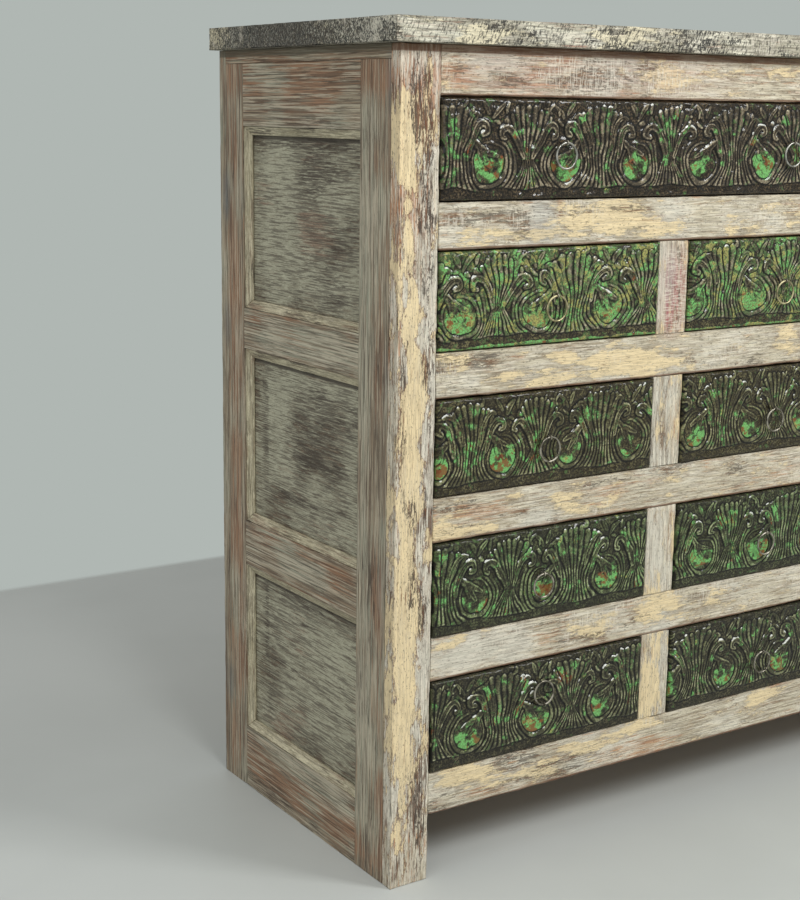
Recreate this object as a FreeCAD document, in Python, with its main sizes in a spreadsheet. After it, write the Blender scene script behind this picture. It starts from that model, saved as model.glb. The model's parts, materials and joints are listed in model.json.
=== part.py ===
import FreeCAD, Part
import os
import re

# A wide sideboard of reclaimed boards, standing on its side frames. The front is a face frame
# around one long top drawer and four rows of three small ones, each with an embossed sheet metal
# facing and ring pulls. X runs along the front, Y goes from the front to the back, Z is up, and
# the origin is on the floor under the middle of the whole piece.

ROWS = 5
COLUMNS = 3
TOP_BOARDS = 4
BACK_BOARDS = 5
NAILS_PER_RAIL = 6

# Driving dimensions in millimetres, grouped by the pieces that they belong to
driving = {
    # Case and top
    "case_depth": 460,
    "top_thickness": 30,
    "top_overhang": 16,
    # Face frame
    "frame_thickness": 20,
    "stile_width": 58,
    "divider_width": 53,
    "rail_height": 58,
    "top_rail_height": 60,
    "toe_height": 90,
    "opening_width": 361,
    "opening_height": 126,
    # Side frames with their recessed panels
    "side_thickness": 25,
    "side_stile_width": 68,
    "rear_strip_width": 18,
    "side_cap_height": 18,
    "side_top_rail": 84,
    "side_upper_rail": 58,
    "side_lower_rail": 66,
    "side_bottom_rail": 93,
    "panel_recess": 11,
    "panel_thickness": 8,
    "moulding_width": 12,
    "moulding_set_back": 1.5,
    "moulding_lip": 3,
    # Back
    "back_board_thickness": 12,
    "back_rail_thickness": 20,
    "back_rail_rise": 20,
    "top_back_rail_height": 50,
    "nail_head_radius": 3.5,
    "nail_head_thickness": 1.2,
    "nail_shank_radius": 1.2,
    "nail_length": 26,
    "nail_edge_distance": 45,
    # Inside of the case
    "runner_height": 30,
    "runner_reach": 18,
    "guide_height": 40,
    "catch_drop": 10,
    "catch_height": 28,
    "catch_thickness": 20,
    "cleat_width": 20,
    "cleat_height": 20,
    "bottom_thickness": 9,
    # Drawer boxes
    "front_gap": 2,
    "front_thickness": 20,
    "front_proud": 3,
    "drawer_side_thickness": 12,
    "drawer_side_height": 105,
    "drawer_back_thickness": 12,
    "drawer_bottom_thickness": 6,
    "drawer_bottom_rise": 9,
    "groove_depth": 5,
    "muntin_width": 40,
    "toggle_width": 40,
    "toggle_height": 34,
    "toggle_thickness": 10,
    "toggle_under_rail": 3,
    # Metal facings
    "sheet_thickness": 0.8,
    "fold_depth": 16,
    # Ring pulls and the split pins that hold them
    "ring_outer_diameter": 35,
    "ring_wire": 3,
    "ring_stand_off": 6.9,
    "top_ring_rise": 8,
    "top_ring_inset": 185.5,
    "pin_wire": 1.8,
    "pin_shank_radius": 1.8,
    "clinch_width": 3.2,
    "clinch_height": 18,
    "clinch_thickness": 1.6,
    "flipped_ring_lean": 3,
    # Clearances
    "seat_clearance": 0.3,
    "runner_stand": 0.7,
    "pin_hole_clearance": 0.2,
}

# Sizes that follow from the driving ones, each a formula in their names
derived = {
    "small_pitch": "opening_width + divider_width",
    "row_pitch": "opening_height + rail_height",
    "long_opening": f"{COLUMNS} * opening_width + {COLUMNS - 1} * divider_width",
    "case_width": "long_opening + 2 * stile_width",
    "case_left": "0 - case_width / 2",
    "case_right": "case_width / 2",
    "case_front": "top_overhang - (case_depth + top_overhang) / 2",
    "case_back": "case_front + case_depth",
    "case_top": f"toe_height + {ROWS} * row_pitch + top_rail_height",
    "inner_left": "case_left + side_thickness",
    "inner_width": "case_width - 2 * side_thickness",
    "frame_back": "case_front + frame_thickness",
    "first_opening": "case_left + stile_width",
    "back_board_front": "case_back - back_board_thickness",
    "back_rail_front": "back_board_front - back_rail_thickness",
    "inner_depth": "back_rail_front - frame_back",
    "panel_opening_front": "frame_back + side_stile_width",
    "panel_opening_back": "case_back - side_stile_width",
    "panel_opening_depth": "panel_opening_back - panel_opening_front",
    "panel_opening_height": "(case_top - side_cap_height - side_top_rail - side_upper_rail"
                            " - side_lower_rail - side_bottom_rail) / 3",
    "runner_drop": "runner_height - runner_stand",
    "drawer_floor_gap": "runner_stand + seat_clearance",
    "facing_front": "case_front - front_proud",
    "board_front": "facing_front + sheet_thickness",
    "board_back": "board_front + front_thickness",
    "drawer_back": "back_rail_front - seat_clearance",
    "ring_wire_radius": "ring_wire / 2",
    "ring_radius": "(ring_outer_diameter - ring_wire) / 2",
    "eye_radius": "ring_wire_radius + seat_clearance + pin_wire / 2",
    "ring_front": "facing_front - ring_stand_off",
}

# Where each ring sits along its small drawer, measured from the drawer's middle, by row:
# the holes were bored by eye, so the rows differ by a few millimetres
ring_shift = {2: 0, 3: -4, 4: -7, 5: 0.5}

# The one ring that stands flipped up against its facing
FLIPPED_RING = (5, 1)

doc = FreeCAD.newDocument("sideboard")
sheet = doc.addObject("Spreadsheet::Sheet", "sizes")
for number, (alias, value) in enumerate(driving.items(), start=1):
    sheet.set(f"A{number}", alias)
    sheet.set(f"B{number}", str(value))
    sheet.setAlias(f"B{number}", alias)
doc.recompute()

sub_parts = []


def formula(text):
    """Turns the plain names in a formula into cells of the sheet."""
    def cell(found):
        name = found.group(0)
        if name in driving:
            return "sizes." + name
        if name in derived:
            return "(" + formula(derived[name]) + ")"
        return name
    return re.sub(r"[a-z][a-z_]*", cell, str(text))


def place(item, x, y, z):
    """Binds the position of an object."""
    for axis, text in zip("xyz", (x, y, z)):
        item.setExpression(f".Placement.Base.{axis}", formula(text))
    return item


def board(name, x, y, z, along_x, along_y, along_z):
    """A rectangular board from its lowest corner and its three sizes."""
    box = doc.addObject("Part::Box", name)
    box.setExpression("Length", formula(along_x))
    box.setExpression("Width", formula(along_y))
    box.setExpression("Height", formula(along_z))
    return place(box, x, y, z)


def rod(name, x, y, z, radius, length):
    """A round rod that starts at a point and runs towards the back."""
    cylinder = doc.addObject("Part::Cylinder", name)
    cylinder.setExpression("Radius", formula(radius))
    cylinder.setExpression("Height", formula(length))
    cylinder.Placement.Rotation = FreeCAD.Rotation(FreeCAD.Vector(1, 0, 0), -90)
    return place(cylinder, x, y, z)


def cut(name, base, *tools):
    """A piece with one or more tools taken out of it."""
    result = doc.addObject("Part::Cut", name)
    result.Base = base
    result.Tool = tools[0] if len(tools) == 1 else group(name + "_tools", tools)
    return result


def joined(name, *pieces):
    """Several shapes that are one piece of material."""
    result = doc.addObject("Part::MultiFuse", name)
    result.Shapes = list(pieces)
    return result


def group(name, pieces):
    """Separate solids side by side in one object."""
    result = doc.addObject("Part::Compound", name)
    result.Links = list(pieces)
    return result


def sub_part(label, pieces):
    """A finished sub-part of the sideboard, with its own name."""
    if isinstance(pieces, list):
        item = group(label, pieces)
    else:
        item = pieces
    item.Label = label
    sub_parts.append(item)
    return item


def row_floor(row):
    """Height of the lower edge of a row's openings; row 1 is the top row."""
    return f"(toe_height + rail_height + {ROWS - row} * row_pitch)"


def row_ceiling(row):
    return f"({row_floor(row)} + opening_height)"


def column_left(column):
    """Left edge of a column's openings; column 1 is at the left."""
    return f"(first_opening + {column - 1} * small_pitch)"


def make_top():
    """Boards laid side by side, flush with the case at the back."""
    depth = f"(case_depth + top_overhang) / {TOP_BOARDS}"
    boards = []
    for number in range(TOP_BOARDS):
        start = f"case_front - top_overhang + {number} * {depth}"
        boards.append(board(f"top_board_{number + 1}", "case_left - top_overhang", start, "case_top",
                            "case_width + 2 * top_overhang", depth, "top_thickness"))
    sub_part("top_boards", boards)


def panel_floors():
    """Heights of the lower edges of the three panel openings in a side, from the lowest."""
    lowest = "side_bottom_rail"
    middle = f"{lowest} + panel_opening_height + side_lower_rail"
    highest = f"{middle} + panel_opening_height + side_upper_rail"
    return [lowest, middle, highest]


def make_side_frame(side, left_face):
    """Stiles, rails, a cap along the top and a strip glued down the back edge."""
    cap_floor = "case_top - side_cap_height"
    lowest, middle, highest = panel_floors()
    width = "side_thickness"
    pieces = [
        board(f"{side}_front_side_stile", left_face, "frame_back", 0,
              width, "side_stile_width", cap_floor),
        board(f"{side}_rear_side_stile", left_face, "panel_opening_back", 0,
              width, "side_stile_width - rear_strip_width", cap_floor),
        board(f"{side}_rear_strip", left_face, "case_back - rear_strip_width", 0,
              width, "rear_strip_width", "case_top"),
        board(f"{side}_cap", left_face, "frame_back", cap_floor,
              width, "case_depth - frame_thickness - rear_strip_width", "side_cap_height"),
    ]
    rails = {
        "bottom": ("0", "side_bottom_rail"),
        "lower": (f"{middle} - side_lower_rail", "side_lower_rail"),
        "upper": (f"{highest} - side_upper_rail", "side_upper_rail"),
        "top": (f"{highest} + panel_opening_height", "side_top_rail"),
    }
    for name, (floor, height) in rails.items():
        pieces.append(board(f"{side}_{name}_side_rail", left_face, "panel_opening_front", floor,
                            width, "panel_opening_depth", height))
    sub_part(f"{side}_side_frame", pieces)


def make_side_panels(side, left_face):
    """Three thin panels set back from the outer face of the frame."""
    if side == "left":
        face = f"{left_face} + panel_recess"
    else:
        face = f"{left_face} + side_thickness - panel_recess - panel_thickness"
    panels = []
    for number, floor in enumerate(panel_floors(), start=1):
        panels.append(board(f"{side}_panel_{number}", face, "panel_opening_front", floor,
                            "panel_thickness", "panel_opening_depth", "panel_opening_height"))
    sub_part(f"{side}_side_panels", panels)


def moulding_strip(name, length, rotation, x, y, z):
    """A sloping strip with mitred ends: it lies on the panel with its thick edge at the frame."""
    strip = doc.addObject("Part::Wedge", name)
    sizes = {
        "Xmin": 0, "Xmax": length,
        "Ymin": 0, "Ymax": "moulding_width",
        "Zmin": 0, "Zmax": "panel_recess - moulding_set_back",
        "X2min": "moulding_width", "X2max": f"{length} - moulding_width",
        "Z2min": 0, "Z2max": "moulding_lip",
    }
    # The far corners come first, because a wedge refuses a start that lies past its end
    for corner in ("Xmax", "X2max", "Ymax", "Zmax", "Z2max", "Xmin", "X2min", "Ymin", "Zmin", "Z2min"):
        strip.setExpression(corner, formula(sizes[corner]))
    strip.Placement.Rotation = rotation
    return place(strip, x, y, z)


def make_mouldings(side, left_face):
    """Four mitred strips round the inside edge of each panel opening."""
    up = FreeCAD.Vector(0, 0, 1)
    if side == "left":
        along = FreeCAD.Vector(0, -1, 0)
        outward = FreeCAD.Vector(-1, 0, 0)
        panel_face = f"{left_face} + panel_recess"
        near, far = "panel_opening_back", "panel_opening_front"
    else:
        along = FreeCAD.Vector(0, 1, 0)
        outward = FreeCAD.Vector(1, 0, 0)
        panel_face = f"{left_face} + side_thickness - panel_recess"
        near, far = "panel_opening_front", "panel_opening_back"
    strips = []
    for number, floor in enumerate(panel_floors(), start=1):
        ceiling = f"{floor} + panel_opening_height"
        runs = [
            ("bottom", "panel_opening_depth", along, up, near, floor),
            ("far", "panel_opening_height", up, along.negative(), far, floor),
            ("top", "panel_opening_depth", along.negative(), up.negative(), far, ceiling),
            ("near", "panel_opening_height", up.negative(), along, near, ceiling),
        ]
        for place_name, length, run, inward, y, z in runs:
            turn = FreeCAD.Rotation(run, inward, outward, "ZXY")
            strips.append(moulding_strip(f"{side}_moulding_{number}_{place_name}", length, turn,
                                         panel_face, y, z))
    sub_part(f"{side}_panel_mouldings", strips)


def make_face_frame():
    """Full height stiles, rails between them and short dividers between the rails."""
    stiles = []
    for name, x in (("left", "case_left"), ("right", "case_right - stile_width")):
        stiles.append(board(f"{name}_front_stile", x, "case_front", 0,
                            "stile_width", "frame_thickness", "case_top"))
    sub_part("front_stiles", stiles)
    rails = [board("top_front_rail", "first_opening", "case_front", "case_top - top_rail_height",
                   "long_opening", "frame_thickness", "top_rail_height")]
    for row in range(1, ROWS + 1):
        rails.append(board(f"front_rail_{row}", "first_opening", "case_front",
                           f"{row_floor(row)} - rail_height",
                           "long_opening", "frame_thickness", "rail_height"))
    sub_part("front_rails", rails)
    dividers = []
    for row in range(2, ROWS + 1):
        for column in range(1, COLUMNS):
            dividers.append(board(f"divider_{row}_{column}", f"{column_left(column)} + opening_width",
                                  "case_front", row_floor(row),
                                  "divider_width", "frame_thickness", "opening_height"))
    sub_part("front_dividers", dividers)


def runner_places():
    """Left edge and width of the runners under one row: at both sides and between the columns."""
    places = [("inner_left", "stile_width - side_thickness + runner_reach")]
    for column in range(1, COLUMNS):
        places.append((f"{column_left(column)} + opening_width - runner_reach",
                       "divider_width + 2 * runner_reach"))
    places.append(("case_right - stile_width - runner_reach",
                   "stile_width - side_thickness + runner_reach"))
    return places


def guide_places(row):
    """Left edge and width of the guides that keep a row's drawers from straying sideways."""
    places = [("inner_left", "stile_width - side_thickness"),
              ("case_right - stile_width", "stile_width - side_thickness")]
    if row > 1:
        for column in range(1, COLUMNS):
            places.append((f"{column_left(column)} + opening_width", "divider_width"))
    return places


def make_inside():
    """Runners, guides and catches for the drawers, from the face frame to the back rails."""
    runners = []
    guides = []
    catches = []
    for row in range(1, ROWS + 1):
        for number, (x, width) in enumerate(runner_places(), start=1):
            runners.append(board(f"runner_{row}_{number}", x, "frame_back",
                                 f"{row_floor(row)} - runner_drop",
                                 width, "inner_depth", "runner_height"))
        for number, (x, width) in enumerate(guide_places(row), start=1):
            guides.append(board(f"guide_{row}_{number}", x, "frame_back",
                                f"{row_floor(row)} + runner_stand",
                                width, "inner_depth", "guide_height"))
        catches.append(board(f"catch_{row}", "inner_left", "frame_back",
                             f"{row_ceiling(row)} - catch_drop",
                             "inner_width", "catch_thickness", "catch_height"))
    sub_part("drawer_runners", runners)
    sub_part("drawer_guides", guides)
    sub_part("drawer_catches", catches)
    sub_part("bottom_board", board("bottom_board", "inner_left", "frame_back",
                                   f"{row_floor(ROWS)} - runner_drop - bottom_thickness",
                                   "inner_width", "back_board_front - frame_back",
                                   "bottom_thickness"))
    cleat_floor = "case_top - cleat_height"
    cleats = [
        board("left_cleat", "inner_left", "frame_back", cleat_floor,
              "cleat_width", "inner_depth", "cleat_height"),
        board("right_cleat", "inner_left + inner_width - cleat_width", "frame_back", cleat_floor,
              "cleat_width", "inner_depth", "cleat_height"),
        board("front_cleat", "inner_left + cleat_width", "frame_back", cleat_floor,
              "inner_width - 2 * cleat_width", "cleat_width", "cleat_height"),
    ]
    sub_part("top_cleats", cleats)


def back_rail_places():
    """Lower edge and height of each rail at the back: one at every row and one at the top."""
    places = []
    for row in range(1, ROWS + 1):
        places.append((f"{row_floor(row)} - runner_drop", "runner_drop + back_rail_rise"))
    places.append(("case_top - top_back_rail_height", "top_back_rail_height"))
    return places


def make_back():
    """Horizontal boards nailed to the back rails, flush with the rear of the side frames."""
    rails = []
    nails = []
    for number, (floor, height) in enumerate(back_rail_places(), start=1):
        rails.append(board(f"back_rail_{number}", "inner_left", "back_rail_front", floor,
                           "inner_width", "back_rail_thickness", height))
        for nail in range(NAILS_PER_RAIL):
            x = (f"inner_left + nail_edge_distance + {nail}"
                 f" * (inner_width - 2 * nail_edge_distance) / {NAILS_PER_RAIL - 1}")
            z = f"{floor} + ({height}) / 2"
            name = f"nail_{number}_{nail + 1}"
            head = rod(name + "_head", x, "case_back - nail_head_thickness", z,
                       "nail_head_radius", "nail_head_thickness")
            shank = rod(name + "_shank", x, "case_back - nail_length", z,
                        "nail_shank_radius", "nail_length - nail_head_thickness")
            nails.append(joined(name, head, shank))
    sub_part("back_rails", rails)
    height = f"(case_top - toe_height) / {BACK_BOARDS}"
    boards = []
    for number in range(BACK_BOARDS):
        boards.append(board(f"back_board_{number + 1}", "inner_left", "back_board_front",
                            f"toe_height + {number} * {height}",
                            "inner_width", "back_board_thickness", height))
    sub_part("back_boards", boards)
    sub_part("back_nails", nails)


def make_drawer(name, row, left, width, ring_places, muntin_places):
    """A drawer box, its metal facing with the split pins, and its rings.

    left and width are the opening's; ring_places are the rings' names, their x and their z;
    muntin_places are the middles of the battens under a long bottom.
    """
    floor = row_floor(row)
    ceiling = row_ceiling(row)
    box_left = f"({left} + front_gap)"
    box_width = f"({width} - 2 * front_gap)"
    box_floor = f"({floor} + drawer_floor_gap)"
    bottom_floor = f"({box_floor} + drawer_bottom_rise)"
    bottom_top = f"({bottom_floor} + drawer_bottom_thickness)"
    side_length = "(drawer_back - board_back)"
    inner_left = f"({box_left} + drawer_side_thickness)"
    inner_width = f"({box_width} - 2 * drawer_side_thickness)"
    bottom_left = f"({inner_left} - groove_depth)"
    bottom_width = f"({inner_width} + 2 * groove_depth)"

    holes = []
    pins = []
    for ring_name, x, z in ring_places:
        holes.append((x, z))
        pins.append(make_split_pin(f"{ring_name}_pin", x, z))

    def pin_holes(part):
        return [rod(f"{name}_{part}_hole_{number}", x, "facing_front - 1", z,
                    "pin_shank_radius + pin_hole_clearance", "front_thickness + 2 * sheet_thickness + 2")
                for number, (x, z) in enumerate(holes, start=1)]

    # The sheet is folded back round all four edges of the front board
    outer = board(f"{name}_facing_outer", box_left, "facing_front", f"{floor} + front_gap",
                  box_width, "sheet_thickness + fold_depth", "opening_height - 2 * front_gap")
    hollow = board(f"{name}_facing_hollow", f"{box_left} + sheet_thickness", "board_front",
                   f"{floor} + front_gap + sheet_thickness", f"{box_width} - 2 * sheet_thickness",
                   "fold_depth + 1", "opening_height - 2 * front_gap - 2 * sheet_thickness")
    tray = cut(f"{name}_facing_tray", outer, hollow, *pin_holes("facing"))
    sub_part(f"{name}_facing", [tray] + pins)

    front = board(f"{name}_front_blank", f"{box_left} + sheet_thickness", "board_front",
                  f"{floor} + front_gap + sheet_thickness", f"{box_width} - 2 * sheet_thickness",
                  "front_thickness", "opening_height - 2 * front_gap - 2 * sheet_thickness")
    front_groove = board(f"{name}_front_groove", bottom_left, "board_back - groove_depth", bottom_floor,
                         bottom_width, "groove_depth + 1", "drawer_bottom_thickness")
    pieces = [cut(f"{name}_front", front, front_groove, *pin_holes("front"))]
    for side, x, groove_x in (
            ("left", box_left, f"{box_left} + drawer_side_thickness - groove_depth"),
            ("right", f"{box_left} + {box_width} - drawer_side_thickness",
             f"{box_left} + {box_width} - drawer_side_thickness - 1")):
        blank = board(f"{name}_{side}_blank", x, "board_back", box_floor,
                      "drawer_side_thickness", side_length, "drawer_side_height")
        groove = board(f"{name}_{side}_groove", groove_x, "board_back - 1", bottom_floor,
                       "groove_depth + 1", f"{side_length} + 2", "drawer_bottom_thickness")
        pieces.append(cut(f"{name}_{side}", blank, groove))
    pieces.append(board(f"{name}_back", inner_left, "drawer_back - drawer_back_thickness", bottom_top,
                        inner_width, "drawer_back_thickness",
                        f"{box_floor} + drawer_side_height - {bottom_top}"))
    pieces.append(board(f"{name}_bottom", bottom_left, "board_back - groove_depth", bottom_floor,
                        bottom_width, f"{side_length} + groove_depth", "drawer_bottom_thickness"))
    # A small turning block on the back meets the catch behind the rail when the drawer is out
    pieces.append(board(f"{name}_toggle", f"{left} + {width} / 2 - toggle_width / 2",
                        "drawer_back - drawer_back_thickness - toggle_thickness",
                        f"{ceiling} - toggle_under_rail - toggle_height",
                        "toggle_width", "toggle_thickness", "toggle_height"))
    for number, middle in enumerate(muntin_places, start=1):
        pieces.append(board(f"{name}_muntin_{number}", f"{middle} - muntin_width / 2", "board_back",
                            box_floor, "muntin_width", side_length, "drawer_bottom_rise"))
    sub_part(f"{name}_box", pieces)
    for ring_name, x, z in ring_places:
        make_ring(ring_name, x, z)


def make_split_pin(name, x, z):
    """An eye of wire on a shank that goes through the front and is clinched behind it."""
    eye = doc.addObject("Part::Torus", name + "_eye")
    eye.setExpression("Radius1", formula("eye_radius"))
    eye.setExpression("Radius2", formula("pin_wire / 2"))
    eye.Placement.Rotation = FreeCAD.Rotation(FreeCAD.Vector(0, 1, 0), 90)
    place(eye, x, "ring_front", z)
    shank = rod(name + "_shank", x, "ring_front + eye_radius", z,
                "pin_shank_radius", "board_back + clinch_thickness / 2 - ring_front - eye_radius")
    clinch = board(name + "_clinch", f"{x} - clinch_width / 2", "board_back",
                   f"{z} - clinch_height / 2", "clinch_width", "clinch_thickness", "clinch_height")
    return joined(name, eye, shank, clinch)


def make_ring(name, x, z):
    """A ring of round wire that hangs in its eye, or stands flipped up against the facing."""
    ring = doc.addObject("Part::Torus", name)
    ring.setExpression("Radius1", formula("ring_radius"))
    ring.setExpression("Radius2", formula("ring_wire_radius"))
    ring.Placement.Rotation = FreeCAD.Rotation(FreeCAD.Vector(1, 0, 0), 90)
    if name == ring_name(*FLIPPED_RING):
        ring.setExpression(".Placement.Rotation.Angle", formula("90 - flipped_ring_lean"))
        place(ring, x, "ring_front + ring_radius * sin(flipped_ring_lean * 1 deg)",
              f"{z} + ring_radius * cos(flipped_ring_lean * 1 deg)")
    else:
        place(ring, x, "ring_front", f"{z} - ring_radius")
    sub_part(name, ring)


def ring_name(row, column):
    return f"ring_{row}_{column}"


def make_drawers():
    """One long drawer on top, then three small ones in each row."""
    top_z = f"{row_floor(1)} + opening_height / 2 + top_ring_rise"
    top_rings = [
        ("ring_top_left", "first_opening + front_gap + top_ring_inset", top_z),
        ("ring_top_middle", "0", top_z),
        ("ring_top_right", "first_opening + long_opening - front_gap - top_ring_inset", top_z),
    ]
    muntins = [f"{column_left(column)} + opening_width + divider_width / 2"
               for column in range(1, COLUMNS)]
    make_drawer("drawer_top", 1, "first_opening", "long_opening", top_rings, muntins)
    for row in range(2, ROWS + 1):
        for column in range(1, COLUMNS + 1):
            left = column_left(column)
            x = f"{left} + opening_width / 2 + {ring_shift[row]}"
            z = f"{row_floor(row)} + opening_height / 2"
            make_drawer(f"drawer_{row}_{column}", row, left, "opening_width",
                        [(ring_name(row, column), x, z)], [])


def check_document():
    """Stops when any object failed or any sub-part has no sound shape."""
    for item in doc.Objects:
        if "Invalid" in item.State or "Error" in item.State:
            raise RuntimeError(f"{item.Label} failed: {item.State}")
    for item in sub_parts:
        if item.Shape.isNull() or not item.Shape.isValid() or not item.Shape.Solids:
            raise RuntimeError(f"{item.Label} has no sound solid")


make_top()
for side_name, outer_face in (("left", "case_left"), ("right", "case_right - side_thickness")):
    make_side_frame(side_name, outer_face)
    make_side_panels(side_name, outer_face)
    make_mouldings(side_name, outer_face)
make_face_frame()
make_inside()
make_back()
make_drawers()

doc.recompute()
check_document()

os.makedirs("parts", exist_ok=True)
for item in sub_parts:
    item.Shape.exportStep(f"parts/{item.Label}.step")
    bounds = item.Shape.BoundBox
    print(f"{item.Label}: {len(item.Shape.Solids)} solids, {item.Shape.Volume / 1000:.1f} cm3, "
          f"{bounds.XLength:.1f} x {bounds.YLength:.1f} x {bounds.ZLength:.1f} mm")
print(f"{len(sub_parts)} sub-parts")
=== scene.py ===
import bpy
import bmesh
import json
import math
import random
import numpy as np
from mathutils import Matrix, Vector, noise

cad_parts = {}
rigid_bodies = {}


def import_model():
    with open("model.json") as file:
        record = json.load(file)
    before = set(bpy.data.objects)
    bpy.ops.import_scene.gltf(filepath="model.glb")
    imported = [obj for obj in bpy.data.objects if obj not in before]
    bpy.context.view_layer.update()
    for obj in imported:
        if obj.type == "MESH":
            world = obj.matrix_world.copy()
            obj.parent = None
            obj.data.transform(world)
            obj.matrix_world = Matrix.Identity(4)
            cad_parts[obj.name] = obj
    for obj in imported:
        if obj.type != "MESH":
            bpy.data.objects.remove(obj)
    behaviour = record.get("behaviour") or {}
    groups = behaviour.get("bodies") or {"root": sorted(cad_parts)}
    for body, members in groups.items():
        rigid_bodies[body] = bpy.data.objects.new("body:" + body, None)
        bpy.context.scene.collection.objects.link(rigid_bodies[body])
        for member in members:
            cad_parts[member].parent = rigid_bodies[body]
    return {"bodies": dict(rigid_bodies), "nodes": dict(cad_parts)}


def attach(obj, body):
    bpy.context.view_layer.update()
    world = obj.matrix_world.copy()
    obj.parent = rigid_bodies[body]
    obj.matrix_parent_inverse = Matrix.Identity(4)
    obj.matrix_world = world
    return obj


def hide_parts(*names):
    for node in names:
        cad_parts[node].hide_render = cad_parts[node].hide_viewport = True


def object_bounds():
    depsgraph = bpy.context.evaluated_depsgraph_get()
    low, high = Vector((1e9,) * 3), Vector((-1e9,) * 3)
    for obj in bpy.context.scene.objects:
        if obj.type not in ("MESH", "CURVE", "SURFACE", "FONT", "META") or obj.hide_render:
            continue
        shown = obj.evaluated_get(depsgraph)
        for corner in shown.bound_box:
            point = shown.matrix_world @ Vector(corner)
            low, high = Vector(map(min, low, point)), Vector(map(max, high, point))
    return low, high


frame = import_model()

cadLow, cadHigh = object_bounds()
scene = bpy.context.scene
scene.view_settings.view_transform = "Standard"
mm = 0.001


# Camera, room and lights

cameraSettings = {
    "place": (-1.7081, -1.8211, 0.9924),
    "turn": -33.593,    # degrees about Z from looking along +Y
    "tilt": -11.997,
    "roll": -0.789,
    "lens": 63.97,
}

roomSettings = {
    "floorSize": 14.0,
    "floorColour": (196, 200, 196),
    "wallColour": (176, 183, 179),
    "wallLine": 1.29,       # the floor fades into the wall's colour from here on, m behind the middle
    "worldStrength": 0.52,
    "lights": {         # place, size, power
        "keyLight": ((1.5, -2.8, 2.7), 1.0, 70.0),
        "fillLight": ((-3.0, -1.4, 1.9), 2.2, 19.0),
        "overheadLight": ((-0.9, -2.2, 2.9), 0.7, 26.0),
    },
    "aim": (-0.2, 0.0, 0.6),
}


def tone(red, green, blue, alpha=1.0):
    return tuple(linear(c / 255) for c in (red, green, blue)) + (alpha,)


def linear(c):
    return c / 12.92 if c <= 0.04045 else ((c + 0.055) / 1.055) ** 2.4


def makeCamera():
    s = cameraSettings
    data = bpy.data.cameras.new("camera")
    data.lens = s["lens"]
    data.sensor_width = 36
    data.clip_start = 0.01
    data.clip_end = 60
    camera = bpy.data.objects.new("camera", data)
    scene.collection.objects.link(camera)
    turn = (Matrix.Rotation(math.radians(s["turn"]), 4, "Z")
            @ Matrix.Rotation(math.radians(s["tilt"]), 4, "X")
            @ Matrix.Rotation(math.radians(s["roll"]), 4, "Y")
            @ Matrix.Rotation(math.radians(90), 4, "X"))
    camera.matrix_world = Matrix.Translation(s["place"]) @ turn
    scene.camera = camera


def areaLight(name, place, size, power):
    data = bpy.data.lights.new(name, "AREA")
    data.shape = "SQUARE"
    data.size = size
    data.energy = power
    light = bpy.data.objects.new(name, data)
    light.location = place
    away = Vector(place) - Vector(roomSettings["aim"])
    light.rotation_euler = away.to_track_quat("Z", "Y").to_euler()
    scene.collection.objects.link(light)


def makeRoom():
    s = roomSettings
    bm = bmesh.new()
    bmesh.ops.create_grid(bm, x_segments=2, y_segments=2, size=s["floorSize"] / 2)
    floor = newPiece("floor", bm)
    floor.data.materials.append(floorMaterial())
    world = bpy.data.worlds.new("room")
    scene.world = world
    world.use_nodes = True
    tree = world.node_tree
    back = tree.nodes["Background"]
    back.inputs["Strength"].default_value = s["worldStrength"]
    back.inputs["Color"].default_value = (1, 1, 1, 1)
    seen = addNode(tree, "ShaderNodeBackground", {"Color": tone(*s["wallColour"]), "Strength": 1.0})
    path = addNode(tree, "ShaderNodeLightPath")
    shown = sums(tree, "MAXIMUM", path.outputs["Is Camera Ray"], path.outputs["Is Glossy Ray"])
    shown = sums(tree, "MAXIMUM", shown, path.outputs["Is Transmission Ray"])
    mix = addNode(tree, "ShaderNodeMixShader", {0: shown, 1: back.outputs[0], 2: seen.outputs[0]})
    tree.links.new(mix.outputs[0], tree.nodes["World Output"].inputs["Surface"])
    for name, (place, size, power) in s["lights"].items():
        areaLight(name, place, size, power)


# Node helpers

def addNode(tree, kind, inputs=None, **settings):
    made = tree.nodes.new(kind)
    for name, value in settings.items():
        setattr(made, name, value)
    for name, value in (inputs or {}).items():
        if isinstance(value, bpy.types.NodeSocket):
            tree.links.new(value, made.inputs[name])
        else:
            made.inputs[name].default_value = value
    return made


def sums(tree, operation, first, second=0.0, clamp=False):
    return addNode(tree, "ShaderNodeMath", {0: first, 1: second}, operation=operation,
                   use_clamp=clamp).outputs[0]


def mixColour(tree, amount, first, second):
    return addNode(tree, "ShaderNodeMix", {0: amount, 6: first, 7: second}, data_type="RGBA").outputs[2]


def ramp(tree, value, low, high, toLow=0.0, toHigh=1.0):
    return addNode(tree, "ShaderNodeMapRange",
                   {"Value": value, "From Min": low, "From Max": high, "To Min": toLow, "To Max": toHigh},
                   interpolation_type="SMOOTHSTEP").outputs[0]


def newGroup(name, inputs, outputs):
    tree = bpy.data.node_groups.new(name, "ShaderNodeTree")
    kinds = {"value": "NodeSocketFloat", "vector": "NodeSocketVector", "colour": "NodeSocketColor"}
    for label, kind, default in inputs:
        socket = tree.interface.new_socket(name=label, in_out="INPUT", socket_type=kinds[kind])
        if default is not None:
            socket.default_value = default
    for label, kind in outputs:
        tree.interface.new_socket(name=label, in_out="OUTPUT", socket_type=kinds[kind])
    return tree, tree.nodes.new("NodeGroupInput"), tree.nodes.new("NodeGroupOutput")


def useGroup(tree, group, inputs):
    return addNode(tree, "ShaderNodeGroup", inputs, node_tree=group)


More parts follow.
